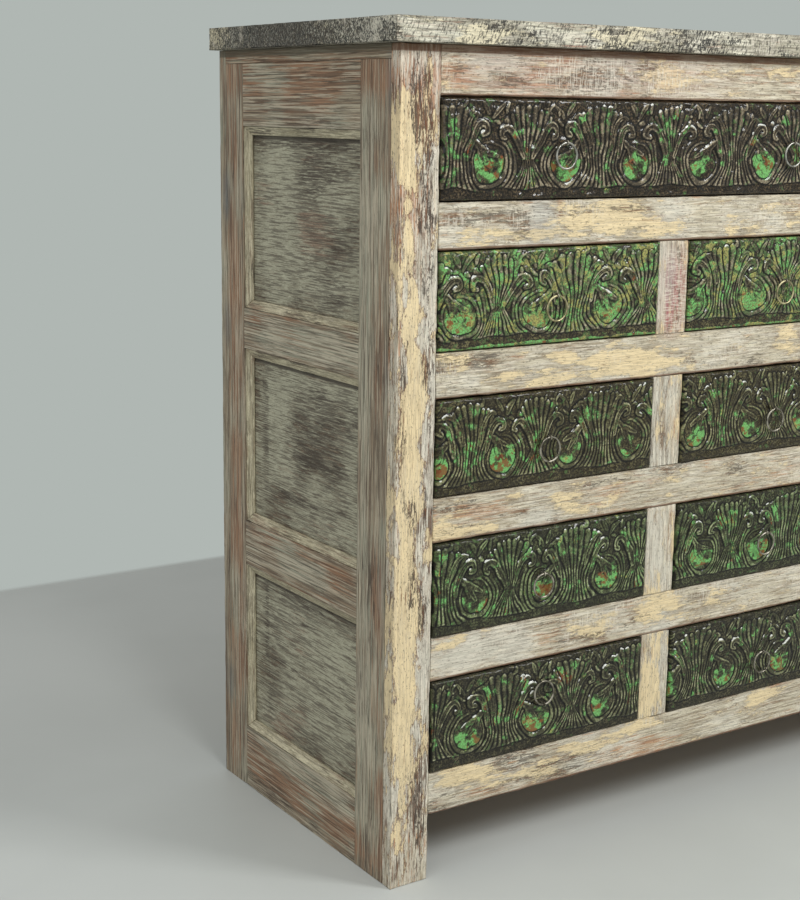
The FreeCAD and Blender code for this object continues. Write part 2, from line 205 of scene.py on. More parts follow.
def stretched(tree, source):
    spread = addNode(tree, "ShaderNodeCombineXYZ",
                     {"X": sums(tree, "DIVIDE", 1.0, source["Stretch"]), "Y": 1.0, "Z": 1.0})
    scaled = addNode(tree, "ShaderNodeVectorMath", {0: source["Place"], 1: spread.outputs[0]},
                     operation="MULTIPLY")
    return addNode(tree, "ShaderNodeVectorMath",
                   {0: scaled.outputs[0], "Scale": sums(tree, "DIVIDE", 1.0, source["Size"])},
                   operation="SCALE").outputs[0]


def grainGroup():
    tree, source, result = newGroup("woodGrain", [
        ("Place", "vector", None), ("Size", "value", 0.004), ("Stretch", "value", 16.0),
        ("Detail", "value", 4.0)],
        [("Streaks", "value")])
    place = stretched(tree, source.outputs)
    lines = addNode(tree, "ShaderNodeTexNoise",
                    {"Vector": place, "Scale": 1.0, "Detail": source.outputs["Detail"], "Roughness": 0.6})
    tree.links.new(lines.outputs[0], result.inputs["Streaks"])
    return tree


def flakeGroup():
    tree, source, result = newGroup("paintFlakes", [
        ("Place", "vector", None), ("Size", "value", 0.03), ("Stretch", "value", 2.5),
        ("Threshold", "value", 0.5), ("Softness", "value", 0.01), ("Roughness", "value", 0.6)],
        [("Mask", "value"), ("Rim", "value")])
    place = stretched(tree, source.outputs)
    blot = addNode(tree, "ShaderNodeTexNoise",
                   {"Vector": place, "Scale": 1.0, "Detail": 7.0, "Roughness": source.outputs["Roughness"]})
    edge = source.outputs["Threshold"]
    soft = source.outputs["Softness"]
    value = blot.outputs[0]
    tree.links.new(ramp(tree, value, edge, sums(tree, "ADD", edge, soft)), result.inputs["Mask"])
    inner = ramp(tree, value, sums(tree, "SUBTRACT", edge, 0.035), edge)
    outer = ramp(tree, value, edge, sums(tree, "ADD", edge, 0.012))
    tree.links.new(sums(tree, "SUBTRACT", inner, outer, True), result.inputs["Rim"])
    return tree


def crackleGroup():
    tree, source, result = newGroup("crackle", [
        ("Place", "vector", None), ("Size", "value", 0.006), ("Stretch", "value", 2.5),
        ("Width", "value", 0.08)],
        [("Lines", "value")])
    place = stretched(tree, source.outputs)
    bend = addNode(tree, "ShaderNodeTexNoise", {"Vector": place, "Scale": 2.0, "Detail": 3.0})
    moved = addNode(tree, "ShaderNodeVectorMath",
                    {0: place, 1: bend.outputs["Color"]}, operation="ADD")
    cells = addNode(tree, "ShaderNodeTexVoronoi", {"Vector": moved.outputs[0], "Scale": 1.0},
                    feature="DISTANCE_TO_EDGE")
    tree.links.new(ramp(tree, cells.outputs["Distance"], 0.0, source.outputs["Width"], 1.0, 0.0),
                   result.inputs["Lines"])
    return tree


def wearGroup():
    tree, source, result = newGroup("edgeWear", [
        ("Place", "vector", None), ("Near", "value", 0.0), ("Amount", "value", 0.6)],
        [("Mask", "value")])
    rough = addNode(tree, "ShaderNodeTexNoise",
                    {"Vector": source.outputs["Place"], "Scale": 140.0, "Detail": 5.0, "Roughness": 0.65})
    ragged = sums(tree, "ADD", source.outputs["Near"], sums(tree, "MULTIPLY", rough.outputs[0], 0.9))
    limit = sums(tree, "SUBTRACT", 1.75, source.outputs["Amount"])
    tree.links.new(ramp(tree, ragged, limit, sums(tree, "ADD", limit, 0.12)), result.inputs["Mask"])
    return tree


groups = {"grain": grainGroup(), "flakes": flakeGroup(), "crackle": crackleGroup(), "wear": wearGroup()}
print("groups made")


# Materials

def newMaterial(name):
    made = bpy.data.materials.new(name)
    made.use_nodes = True
    tree = made.node_tree
    shader = tree.nodes["Principled BSDF"]
    return made, tree, shader


def attribute(tree, name, output="Fac"):
    made = addNode(tree, "ShaderNodeAttribute", attribute_name=name, attribute_type="GEOMETRY")
    return made.outputs[output]


def stains(tree):
    # what the boards carry from stainBoard: where paint, wash and stains gather
    first = addNode(tree, "ShaderNodeSeparateXYZ", {0: attribute(tree, "stainOne", "Vector")})
    second = addNode(tree, "ShaderNodeSeparateXYZ", {0: attribute(tree, "stainTwo", "Vector")})
    return dict(zip(stainNames, list(first.outputs) + list(second.outputs)))


def streaks(tree, place, size, stretch, low=0.36, high=0.64):
    lines = useGroup(tree, groups["grain"], {"Place": place, "Size": size, "Stretch": stretch, "Detail": 5.0})
    return ramp(tree, lines.outputs[0], low, high)


def mark(tree, place, s, name, drawn=None):
    # Speckled marks. A table gives their size in m, how far they stretch along the grain, where they start,
    # how softly, how ragged they are, and perhaps what draws them and how strongly. A finish's own From,
    # Edge and Pull take the place of the table's values.
    size, stretch, start, soft, ragged, *draw = s["marks"][name]
    start = s.get(name + "From", start)
    if draw:
        pull = sums(tree, "MULTIPLY", drawn[draw[0]], s.get(name + "Pull", draw[1]))
        start = sums(tree, "SUBTRACT", start, pull)
    return useGroup(tree, groups["flakes"], {"Place": place, "Size": size, "Stretch": stretch,
                                             "Threshold": start, "Softness": s.get(name + "Edge", soft),
                                             "Roughness": ragged}).outputs


def times(tree, *values):
    result = values[0]
    for value in values[1:]:
        result = sums(tree, "MULTIPLY", result, value)
    return result


def laid(tree, colour, new, *amounts):
    # a colour laid over another by all the amounts together
    return mixColour(tree, times(tree, *amounts), colour, tone(*new))


def between(tree, value, low, high):
    return ramp(tree, value, 0.0, 1.0, low, high)


def edgesWorn(tree, place, amount):
    return useGroup(tree, groups["wear"], {"Place": place, "Near": attribute(tree, "edgeNear"),
                                           "Amount": amount}).outputs[0]


def bumped(tree, height, depth, strength=1.0):
    made = addNode(tree, "ShaderNodeBump", {"Height": height, "Strength": strength, "Distance": depth})
    return made.outputs[0]


def finishWood(tree, shader, colour, height, s):
    tree.links.new(colour, shader.inputs["Base Color"])
    shader.inputs["Roughness"].default_value = s["roughness"]
    tree.links.new(bumped(tree, height, s["bump"]), shader.inputs["Normal"])


stainNames = ("cream", "warm", "dark", "pale", "blush", "slate")

paintMarks = {
    "wash": (0.006, 14.0, 0.38, 0.08, 0.8, "pale", 0.2),
    "chalk": (0.005, 10.0, 0.55, 0.08, 0.75, "pale", 0.2),
    "warm": (0.005, 14.0, 0.60, 0.08, 0.75, "warm", 0.22),
    "cool": (0.005, 7.0, 0.62, 0.05, 0.75, "pale", 0.2),
    "hairs": (0.0019, 20.0, 0.53, 0.05, 0.55, "pale", 0.06),
    "lines": (0.0018, 22.0, 0.52, 0.05, 0.55, "dark", 0.08),
    "deep": (0.03, 3.0, 0.46, 0.16, 0.7),
    "flakes": (0.013, 3.6, 0.60, 0.07, 0.7, "cream", 0.26),
    "dirty": (0.02, 4.5, 0.60, 0.14, 0.75, "dark", 0.26),
    "scratch": (0.0021, 8.0, 0.55, 0.03, 0.65, "dirty", 0.06),
    "speck": (0.0019, 2.6, 0.60, 0.03, 0.6, "dirty", 0.06),
    "brown": (0.0035, 16.0, 0.61, 0.05, 0.75, "dark", 0.09),
    "saw": (0.016, 0.13, 0.50, 0.06, 0.6),
    "sawn": (0.05, 2.0, 0.56, 0.1, 0.6, "blush", 0.6),
}
frontPaint = {
    "wood": (150, 136, 112), "wash": (208, 199, 174), "chalk": (226, 219, 198), "cream": (234, 213, 168),
    "warm": (190, 142, 104), "cool": (188, 188, 176), "blush": (178, 108, 108), "slate": (112, 122, 136),
    "dark": (78, 68, 56), "brown": (136, 100, 70), "line": (110, 94, 76), "hair": (226, 218, 200),
    "under": (112, 78, 54), "lineDepth": 0.55, "hairDepth": 0.45, "markDepth": 0.75, "rimDepth": 0.3,
    "lean": 0.0, "roughness": 0.66, "bump": 0.5 * mm, "marks": paintMarks,
}
stilePaint = dict(frontPaint, wash=(214, 206, 184), brown=(120, 74, 44), line=(90, 66, 48), dark=(66, 54, 44),
                  warm=(182, 118, 72), lineDepth=0.85, hairDepth=0.8, markDepth=0.9, rimDepth=0.8,
                  flakesEdge=0.015, sawnFrom=0.8)
topPaint = dict(frontPaint, wood=(104, 96, 80), wash=(188, 183, 162), chalk=(230, 226, 204),
                cream=(226, 216, 184), warm=(170, 130, 110), dark=(40, 39, 35), slate=(58, 64, 72),
                brown=(70, 60, 46), line=(84, 80, 66), lineDepth=0.5, lean=1.15, markDepth=0.95,
                washFrom=0.34, dirtyFrom=0.50, speckFrom=0.545, scratchFrom=0.60)


def paintedWood(name, s):
    made, tree, shader = newMaterial(name)
    place = attribute(tree, "grainPlace", "Vector")
    stain = stains(tree)
    fine = streaks(tree, place, 0.0024, 20.0)
    masks = {kind: mark(tree, place, s, kind, stain)["Mask"]
             for kind in ("wash", "chalk", "warm", "cool", "hairs", "lines", "deep", "dirty", "brown", "saw",
                          "sawn")}
    colour = laid(tree, tone(*s["wood"]), s["wash"], masks["wash"], ramp(tree, fine, 0.0, 0.7, 0.35, 1.0))
    colour = laid(tree, colour, s["warm"], masks["warm"], between(tree, fine, 0.9, 0.3))
    colour = laid(tree, colour, s["chalk"], masks["chalk"], 0.8)
    colour = laid(tree, colour, s["cool"], masks["cool"], 0.45)
    # thin light and dark lines between the fibres, the dark ones deeper in places
    lines = masks["lines"]
    colour = laid(tree, colour, s["hair"], masks["hairs"], s["hairDepth"])
    colour = laid(tree, colour, s["line"], lines, between(tree, masks["deep"], 0.2, s["lineDepth"]))
    flakes = mark(tree, place, s, "flakes", stain)
    colour = laid(tree, colour, s["cream"], flakes["Mask"], between(tree, lines, 1.0, 0.75), 0.92)
    colour = laid(tree, colour, s["blush"], stain["blush"], between(tree, fine, 0.9, 0.3))
    colour = laid(tree, colour, s["slate"], stain["slate"], between(tree, fine, 0.9, 0.4))
    # dark scratches along the grain and specks, in clusters
    dirty = masks["dirty"]
    scratch = mark(tree, place, s, "scratch", masks)["Mask"]
    leaning = addNode(tree, "ShaderNodeVectorRotate",
                      {"Vector": place, "Axis": (0, 1, 0), "Angle": s["lean"]},
                      rotation_type="AXIS_ANGLE").outputs[0]
    speck = mark(tree, leaning, s, "speck", masks)["Mask"]
    dark = sums(tree, "MAXIMUM", times(tree, scratch, between(tree, dirty, 0.22, 1)),
                times(tree, speck, between(tree, dirty, 0.7, 1)))
    colour = laid(tree, colour, s["dark"], dark, s["markDepth"])
    colour = laid(tree, colour, s["brown"], masks["brown"], 0.75)
    colour = laid(tree, colour, s["brown"], flakes["Rim"], between(tree, dirty, s["rimDepth"], 0.95))
    colour = laid(tree, colour, s["hair"], masks["saw"], masks["sawn"], 0.6)
    colour = laid(tree, colour, s["wood"], edgesWorn(tree, place, 0.34), 0.7)
    # the strip under the slab, part brown stain and part painted shade, and painted shade at a rail's foot
    under = ramp(tree, attribute(tree, "underTop"), 0.48, 0.58)
    colour = laid(tree, colour, s["under"], under, between(tree, fine, 0.95, 0.75))
    high = sums(tree, "ADD", times(tree, flakes["Mask"], 0.8), times(tree, masks["hairs"], 0.4))
    low = sums(tree, "ADD", times(tree, dark, 0.5), times(tree, lines, 0.4))
    finishWood(tree, shader, colour, sums(tree, "SUBTRACT", high, low), s)
    return made


sideWood = {
    "dark": (80, 66, 52), "wood": (140, 121, 98), "light": (182, 172, 148), "warm": (158, 114, 82),
    "cool": (158, 160, 140), "slate": (88, 98, 108), "line": (82, 66, 52), "hair": (208, 198, 174),
    "under": (96, 88, 70), "roughness": 0.6, "bump": 0.4 * mm,
    "marks": {
        "warm": (0.006, 40.0, 0.56, 0.12, 0.75, "warm", 0.24),
        "cool": (0.006, 30.0, 0.58, 0.1, 0.8, "pale", 0.24),
        "lines": (0.0018, 70.0, 0.52, 0.05, 0.55, "dark", 0.08),
        "hairs": (0.0019, 50.0, 0.55, 0.04, 0.55, "pale", 0.08),
        "dirty": (0.02, 9.0, 0.57, 0.2, 0.75, "dark", 0.24),
        "scratch": (0.0019, 24.0, 0.55, 0.05, 0.65, "dirty", 0.06),
    },
}


def brushedWood(name, s):
    made, tree, shader = newMaterial(name)
    place = attribute(tree, "grainPlace", "Vector")
    stain = stains(tree)
    fine = streaks(tree, place, 0.0022, 70.0)
    thick = streaks(tree, place, 0.005, 50.0)
    masks = {kind: mark(tree, place, s, kind, stain)["Mask"]
             for kind in ("warm", "cool", "lines", "hairs", "dirty")}
    scratch = mark(tree, place, s, "scratch", masks)["Mask"]
    colour = laid(tree, tone(*s["wood"]), s["light"], thick, 0.75)
    colour = laid(tree, colour, s["warm"], masks["warm"], 0.75)
    colour = laid(tree, colour, s["cool"], masks["cool"], ramp(tree, fine, 0.2, 0.8, 0.35, 1.0), 0.9)
    colour = laid(tree, colour, s["line"], masks["lines"], 0.6)
    colour = laid(tree, colour, s["hair"], masks["hairs"], 0.6)
    colour = laid(tree, colour, s["slate"], stain["slate"], between(tree, fine, 0.95, 0.5))
    colour = laid(tree, colour, s["dark"], scratch, between(tree, masks["dirty"], 0.45, 0.85))
    colour = laid(tree, colour, s["dark"], edgesWorn(tree, place, 0.3), 0.35)
    # painted shade from the slab along the top of the side
    under = ramp(tree, attribute(tree, "underTop"), 0.48, 0.58)
    colour = laid(tree, colour, s["under"], under, between(tree, fine, 0.9, 0.7))
    high = sums(tree, "ADD", fine, times(tree, masks["hairs"], 0.4))
    low = sums(tree, "ADD", times(tree, scratch, 0.7), times(tree, masks["lines"], 0.5))
    finishWood(tree, shader, colour, sums(tree, "SUBTRACT", high, low), s)
    return made


panelWood = {
    "wood": (120, 102, 82), "paint": (150, 147, 126), "chalk": (184, 182, 158), "dark": (72, 60, 50),
    "warm": (136, 100, 80), "under": (60, 50, 40), "fibreDepth": 0.62, "roughness": 0.6, "bump": 0.5 * mm,
    "marks": {
        "paint": (0.005, 12.0, 0.44, 0.08, 0.85, "pale", 0.22),
        "chalk": (0.0035, 5.0, 0.56, 0.07, 0.75, "pale", 0.12),
        "warm": (0.005, 14.0, 0.60, 0.1, 0.75, "warm", 0.26),
        "hairs": (0.0019, 18.0, 0.54, 0.05, 0.55, "pale", 0.08),
        "fibres": (0.0018, 22.0, 0.52, 0.05, 0.55, "dark", 0.08),
        "dirty": (0.012, 8.0, 0.60, 0.18, 0.8, "dark", 0.24),
        "scratch": (0.0021, 14.0, 0.54, 0.04, 0.65, "dirty", 0.05),
    },
}
mouldingWood = dict(panelWood, wood=(142, 126, 100), paint=(186, 178, 148), chalk=(214, 206, 176),
                    fibreDepth=0.45, paintFrom=0.38, dirtyFrom=0.56)


def crackledWood(name, s):
    made, tree, shader = newMaterial(name)
    place = attribute(tree, "grainPlace", "Vector")
    stain = stains(tree)
    fine = streaks(tree, place, 0.0022, 20.0)
    masks = {kind: mark(tree, place, s, kind, stain)["Mask"]
             for kind in ("paint", "chalk", "warm", "hairs", "fibres", "dirty")}
    scratch = mark(tree, place, s, "scratch", masks)["Mask"]
    colour = laid(tree, tone(*s["wood"]), s["paint"], masks["paint"], ramp(tree, fine, 0.0, 0.6, 0.5, 1.0))
    colour = laid(tree, colour, s["chalk"], masks["chalk"], 0.8)
    colour = laid(tree, colour, s["warm"], masks["warm"], 0.6)
    colour = laid(tree, colour, s["chalk"], masks["hairs"], 0.5)
    colour = laid(tree, colour, s["dark"], masks["fibres"], s["fibreDepth"])
    cracks = useGroup(tree, groups["crackle"], {"Place": place, "Size": 0.003, "Stretch": 3.0,
                                                "Width": 0.10}).outputs[0]
    dark = sums(tree, "MAXIMUM", times(tree, scratch, between(tree, masks["dirty"], 0.25, 0.95)),
                times(tree, cracks, 0.3))
    colour = laid(tree, colour, s["dark"], dark, 0.85)
    colour = laid(tree, colour, s["dark"], edgesWorn(tree, place, 0.45), 0.6)
    # painted shadow under the moulding along each panel's top
    colour = laid(tree, colour, s["under"], ramp(tree, attribute(tree, "underTop"), 0.66, 0.82), 0.85)
    height = sums(tree, "SUBTRACT", times(tree, masks["paint"], 0.8), times(tree, dark, 0.7))
    finishWood(tree, shader, colour, height, s)
    return made


innerWood = {
    "dark": (104, 76, 52), "wood": (160, 124, 86), "light": (186, 152, 110), "warm": (150, 98, 60),
    "roughness": 0.7, "bump": 0.2 * mm, "marks": {"warm": (0.03, 8.0, 0.56, 0.2, 0.6)},
}


def plainWood(name, s):
    made, tree, shader = newMaterial(name)
    place = attribute(tree, "grainPlace", "Vector")
    fine = streaks(tree, place, 0.0014, 30.0, 0.3, 0.7)
    colour = laid(tree, tone(*s["wood"]), s["light"], streaks(tree, place, 0.006, 18.0, 0.3, 0.7))
    colour = laid(tree, colour, s["dark"], ramp(tree, fine, 0.5, 1.0), 0.5)
    colour = laid(tree, colour, s["warm"], mark(tree, place, s, "warm")["Mask"], 0.5)
    finishWood(tree, shader, colour, fine, s)
    return made


facingFinish = {
    "green": (116, 184, 104), "deepGreen": (84, 116, 66), "olive": (162, 160, 92), "rust": (126, 70, 36),
    "creaseShadeAndDirt": (6, 5, 3), "pale": (196, 188, 160), "glintWhite": (222, 224, 216),
    "socket": {"Roughness": 0.5, "Specular IOR Level": 0.12, "Coat Weight": 0.52, "Coat IOR": 1.45,
               "Coat Roughness": 0.09},
    "marks": {
        "speck": (0.0026, 1.0, 0.50, 0.05, 0.7),
        "grit": (0.0022, 1.0, 0.44, 0.07, 0.7),
        "cloud": (0.014, 1.0, 0.46, 0.12, 0.6),
        "tint": (0.012, 1.0, 0.61, 0.05, 0.6, "painted", 0.26),
        "patch": (0.012, 1.0, 0.70, 0.02, 0.6, "painted", 0.26),
        "bare": (0.010, 1.0, 0.72, 0.05, 0.66, "high", 0.25),
        "blotch": (0.024, 1.0, 0.62, 0.04, 0.7),
        "rust": (0.016, 1.0, 0.62, 0.03, 0.72, "painted", 0.12),
        "rubbed": (0.008, 1.0, 0.81, 0.03, 0.6, "upward", 0.38),
    },
}


def metalMaterial(name, look):
    made, tree, shader = newMaterial(name)
    s = dict(facingFinish, **look)
    place = attribute(tree, "frontPlace", "Vector")
    shape = addNode(tree, "ShaderNodeSeparateXYZ", {0: attribute(tree, "shape", "Vector")}).outputs
    crest, painted, raised = shape
    drawn = {"painted": painted, "high": ramp(tree, raised, 0.5, 0.85), "upward": attribute(tree, "upward")}
    masks = {kind: mark(tree, place, s, kind, drawn)["Mask"] for kind in s["marks"]}
    speck, grit, cloud, patch = (masks[kind] for kind in ("speck", "grit", "cloud", "patch"))
    colour = laid(tree, tone(*s["ground"]), s["dust"], speck, between(tree, cloud, 0.4, 1))
    # the tops of the ridges, lighter where worn and as painted highlights, their crests paler still as
    # painted highlights
    colour = laid(tree, colour, s["ridge"], ramp(tree, crest, 0.48, 0.72), between(tree, grit, 0.35, 1.0),
                  between(tree, cloud, 0.25, 1), s["worn"])
    colour = laid(tree, colour, s["pale"], ramp(tree, crest, 0.66, 0.84), between(tree, speck, 0.1, 1.0),
                  cloud, 0.7)
    # bright paint in patches, with a duller green round them, gone from the leaves that stand out
    left = between(tree, masks["bare"], 1.0, 0.06)
    colour = laid(tree, colour, s["deepGreen"], masks["tint"], left, 0.65, between(tree, grit, 0.3, 1.0))
    paint = laid(tree, tone(*s["green"]), s["olive"], masks["blotch"])
    paint = laid(tree, paint, s["dust"], speck, s["dull"])
    colour = mixColour(tree, times(tree, patch, left, between(tree, grit, 0.55, 1.0)), colour, paint)
    colour = laid(tree, colour, s["rust"], masks["rust"], 0.85, ramp(tree, painted, 0.7, 0.85))
    # painted shade and dirt darken the creases between the ridges
    colour = laid(tree, colour, s["creaseShadeAndDirt"], ramp(tree, crest, 0.31, 0.49, 1.0, 0.0), 0.95)
    # painted glints of light, standing also for bare rubbed metal, on the upper sides of the curls
    colour = laid(tree, colour, s["glintWhite"], masks["rubbed"], between(tree, grit, 0.6, 0.95))
    tree.links.new(colour, shader.inputs["Base Color"])
    for socket, value in s["socket"].items():
        shader.inputs[socket].default_value = value
    beaten = addNode(tree, "ShaderNodeTexNoise",
                     {"Vector": place, "Scale": 210.0, "Detail": 4.0, "Roughness": 0.6})
    height = sums(tree, "ADD", beaten.outputs[0], times(tree, patch, 0.2))
    tree.links.new(bumped(tree, height, 1.2 * mm), shader.inputs["Normal"])
    swell = addNode(tree, "ShaderNodeTexNoise", {"Vector": place, "Scale": 110.0, "Detail": 1.0})
    tree.links.new(bumped(tree, swell.outputs[0], 2 * mm), shader.inputs["Coat Normal"])
    return made


def ironMaterial(name, colour, light, rough):
    made, tree, shader = newMaterial(name)
    place = addNode(tree, "ShaderNodeTexCoord").outputs["Object"]
    spots = addNode(tree, "ShaderNodeTexNoise", {"Vector": place, "Scale": 90.0, "Detail": 5.0})
    mixed = mixColour(tree, ramp(tree, spots.outputs[0], 0.4, 0.62), tone(*colour), tone(*light))
    tree.links.new(mixed, shader.inputs["Base Color"])
    shader.inputs["Metallic"].default_value = 0.8
    gloss = ramp(tree, spots.outputs[0], 0.35, 0.65, rough - 0.1, rough + 0.15)
    tree.links.new(gloss, shader.inputs["Roughness"])
    tree.links.new(bumped(tree, spots.outputs[0], 0.1 * mm, 0.5), shader.inputs["Normal"])
    return made


def floorMaterial():
    made, tree, shader = newMaterial("floorPaint")
    place = addNode(tree, "ShaderNodeTexCoord").outputs["Object"]
    clouds = addNode(tree, "ShaderNodeTexNoise", {"Vector": place, "Scale": 1.6, "Detail": 5.0})
    colour = mixColour(tree, ramp(tree, clouds.outputs[0], 0.35, 0.65), tone(*roomSettings["floorColour"]),
                       tone(*(c - 7 for c in roomSettings["floorColour"])))
    tree.links.new(colour, shader.inputs["Base Color"])
    shader.inputs["Roughness"].default_value = 0.5
    glow = addNode(tree, "ShaderNodeEmission", {"Color": tone(*roomSettings["wallColour"])})
    behind = addNode(tree, "ShaderNodeSeparateXYZ", {0: place}).outputs["Y"]
    line = roomSettings["wallLine"]
    mix = addNode(tree, "ShaderNodeMixShader",
                  {0: ramp(tree, behind, line, line + 0.03), 1: shader.outputs[0], 2: glow.outputs[0]})
    tree.links.new(mix.outputs[0], tree.nodes["Material Output"].inputs["Surface"])
    return made


# Boards

def newPiece(name, bm, smooth=False):
    mesh = bpy.data.meshes.new(name)
    bm.to_mesh(mesh)
    bm.free()
    piece = bpy.data.objects.new(name, mesh)
    scene.collection.objects.link(piece)
    if smooth:
        mesh.shade_smooth()
    return piece


def solidBoxes(node):
    return [box(corners) for corners in nodeSolids(node)]


def box(points):
    return Vector(map(min, zip(*points))), Vector(map(max, zip(*points)))


def nodeSolids(node):
    # the node's solids follow one another in its mesh, and each is closed when all its edges are paired
    mesh = frame["nodes"][node].data
    unpaired = set()
    corners = []
    solids = []
    for polygon in mesh.polygons:
        points = [tuple(round(c, 6) for c in mesh.vertices[i].co) for i in polygon.vertices]
        corners += points
        for a, b in zip(points, points[1:] + points[:1]):
            if (b, a) in unpaired:
                unpaired.remove((b, a))
            else:
                unpaired.add((a, b))
        if not unpaired:
            solids.append(corners)
            corners = []
    return solids


# Stains that the photograph shows, in mm: kind, across, down, half-width, half-height, how much.
# Across is from the front's left edge or, on the side, from its front edge; down is from the case's top.
frontStains = [
    ("cream", 10, 80, 9, 26, 1), ("cream", 9, 125, 10, 32, 1), ("cream", 12, 170, 10, 26, 1),
    ("cream", 10, 232, 9, 40, .7), ("cream", 25, 300, 10, 30, .7), ("cream", 12, 335, 12, 25, .6),
    ("cream", 28, 400, 14, 40, .8), ("cream", 20, 470, 16, 50, 1), ("cream", 30, 540, 14, 40, .8),
    ("cream", 14, 600, 14, 60, .9), ("cream", 30, 680, 14, 50, .7), ("cream", 12, 720, 12, 60, .9),
    ("cream", 28, 790, 14, 40, .8), ("cream", 12, 850, 12, 50, .8), ("cream", 20, 920, 16, 40, .6),
    ("cream", 12, 1000, 10, 40, .6), ("dark", 30, 60, 16, 50, .8), ("dark", 34, 150, 13, 60, .8),
    ("dark", 38, 250, 12, 60, .6), ("dark", 20, 275, 8, 22, .7), ("dark", 42, 350, 8, 60, .5),
    ("dark", 8, 450, 5, 60, .6), ("dark", 48, 480, 6, 80, .4), ("dark", 26, 620, 6, 60, .5),
    ("dark", 44, 700, 6, 90, .4), ("dark", 30, 960, 16, 50, .3), ("dark", 40, 1030, 14, 40, .5),
    ("dark", 10, 1045, 9, 18, .6), ("warm", 3, 160, 4, 200, .9), ("warm", 28, 26, 20, 22, .8),
    ("warm", 45, 45, 10, 30, .6), ("warm", 40, 205, 8, 60, .5), ("warm", 48, 300, 8, 60, .3),
    ("pale", 46, 360, 10, 160, .6), ("pale", 46, 600, 10, 200, .7), ("pale", 46, 850, 10, 120, .6),
    ("pale", 30, 380, 24, 40, .5),
    ("warm", 26, 60, 10, 40, .8), ("warm", 22, 190, 5, 60, .7), ("warm", 30, 240, 4, 40, .6),
    ("cream", 12, 25, 16, 24, -.6),
    # top rail
    ("warm", 82, 35, 22, 13, 1), ("warm", 200, 30, 120, 26, .45), ("warm", 420, 20, 60, 14, .4),
    ("dark", 225, 36, 110, 13, .6), ("cream", 440, 52, 30, 7, .5), ("pale", 380, 24, 80, 14, .6),
    ("pale", 140, 20, 50, 10, .5), ("blush", 290, 30, 230, 32, .24), ("warm", 80, 36, 14, 12, .6),
    # rail under the top drawer
    ("cream", 132, 229, 55, 13, 1), ("cream", 320, 214, 66, 22, 1), ("cream", 88, 200, 20, 9, .6),
    ("cream", 430, 226, 40, 12, .7), ("dark", 110, 208, 60, 8, .9), ("dark", 182, 214, 18, 18, .6),
    ("dark", 340, 199, 60, 7, .5), ("slate", 219, 216, 16, 30, .28), ("pale", 219, 216, 22, 28, 1),
    ("warm", 192, 205, 10, 30, .7), ("warm", 246, 208, 5, 25, .7), ("warm", 68, 216, 6, 12, .7),
    # third rail
    ("cream", 190, 413, 60, 11, 1), ("cream", 250, 386, 30, 10, .7), ("cream", 352, 405, 80, 17, .9),
    ("cream", 450, 414, 30, 10, .6), ("dark", 110, 386, 50, 8, .6), ("dark", 240, 377, 60, 4, .6),
    ("pale", 90, 402, 40, 20, .7), ("pale", 300, 421, 60, 5, .6), ("dark", 430, 388, 30, 8, .5),
    # fourth
    ("cream", 110, 601, 50, 9, .9), ("cream", 300, 590, 70, 15, .9), ("cream", 200, 565, 40, 8, .6),
    ("cream", 420, 601, 50, 8, .6), ("dark", 90, 570, 40, 6, .6), ("dark", 182, 590, 25, 6, .7),
    ("dark", 330, 562, 80, 5, .7), ("warm", 140, 580, 50, 11, .7), ("warm", 400, 575, 50, 10, .6),
    ("warm", 60, 580, 8, 25, .5), ("pale", 240, 601, 40, 8, .6),
    # fifth
    ("pale", 150, 765, 90, 22, 1), ("cream", 332, 765, 60, 17, .8), ("cream", 90, 748, 30, 8, .6),
    ("cream", 450, 760, 40, 20, .9), ("dark", 300, 781, 60, 5, .6), ("dark", 230, 747, 50, 4, .5),
    ("dark", 412, 770, 30, 8, .6), ("slate", 360, 752, 30, 6, .25),
    # lowest
    ("cream", 110, 935, 40, 12, .8), ("cream", 205, 955, 60, 13, .8), ("cream", 330, 940, 60, 12, .9),
    ("cream", 430, 930, 30, 8, .6), ("warm", 400, 966, 80, 12, 1), ("warm", 110, 971, 60, 7, .5),
    ("dark", 300, 973, 100, 5, .6), ("dark", 90, 950, 20, 8, .4), ("warm", 375, 950, 30, 12, .5),
    # dividers
    ("blush", 450, 312, 20, 50, .85), ("blush", 444, 345, 8, 22, .5), ("slate", 442, 292, 7, 40, .45),
    ("pale", 425, 300, 6, 60, .8), ("pale", 438, 480, 25, 60, .8), ("warm", 462, 505, 8, 50, .5),
    ("dark", 424, 470, 4, 60, .5), ("pale", 433, 670, 16, 55, 1), ("warm", 464, 660, 7, 50, .6),
    ("cream", 438, 862, 18, 60, .9), ("pale", 456, 840, 18, 60, .9), ("warm", 427, 850, 5, 40, .5),
]
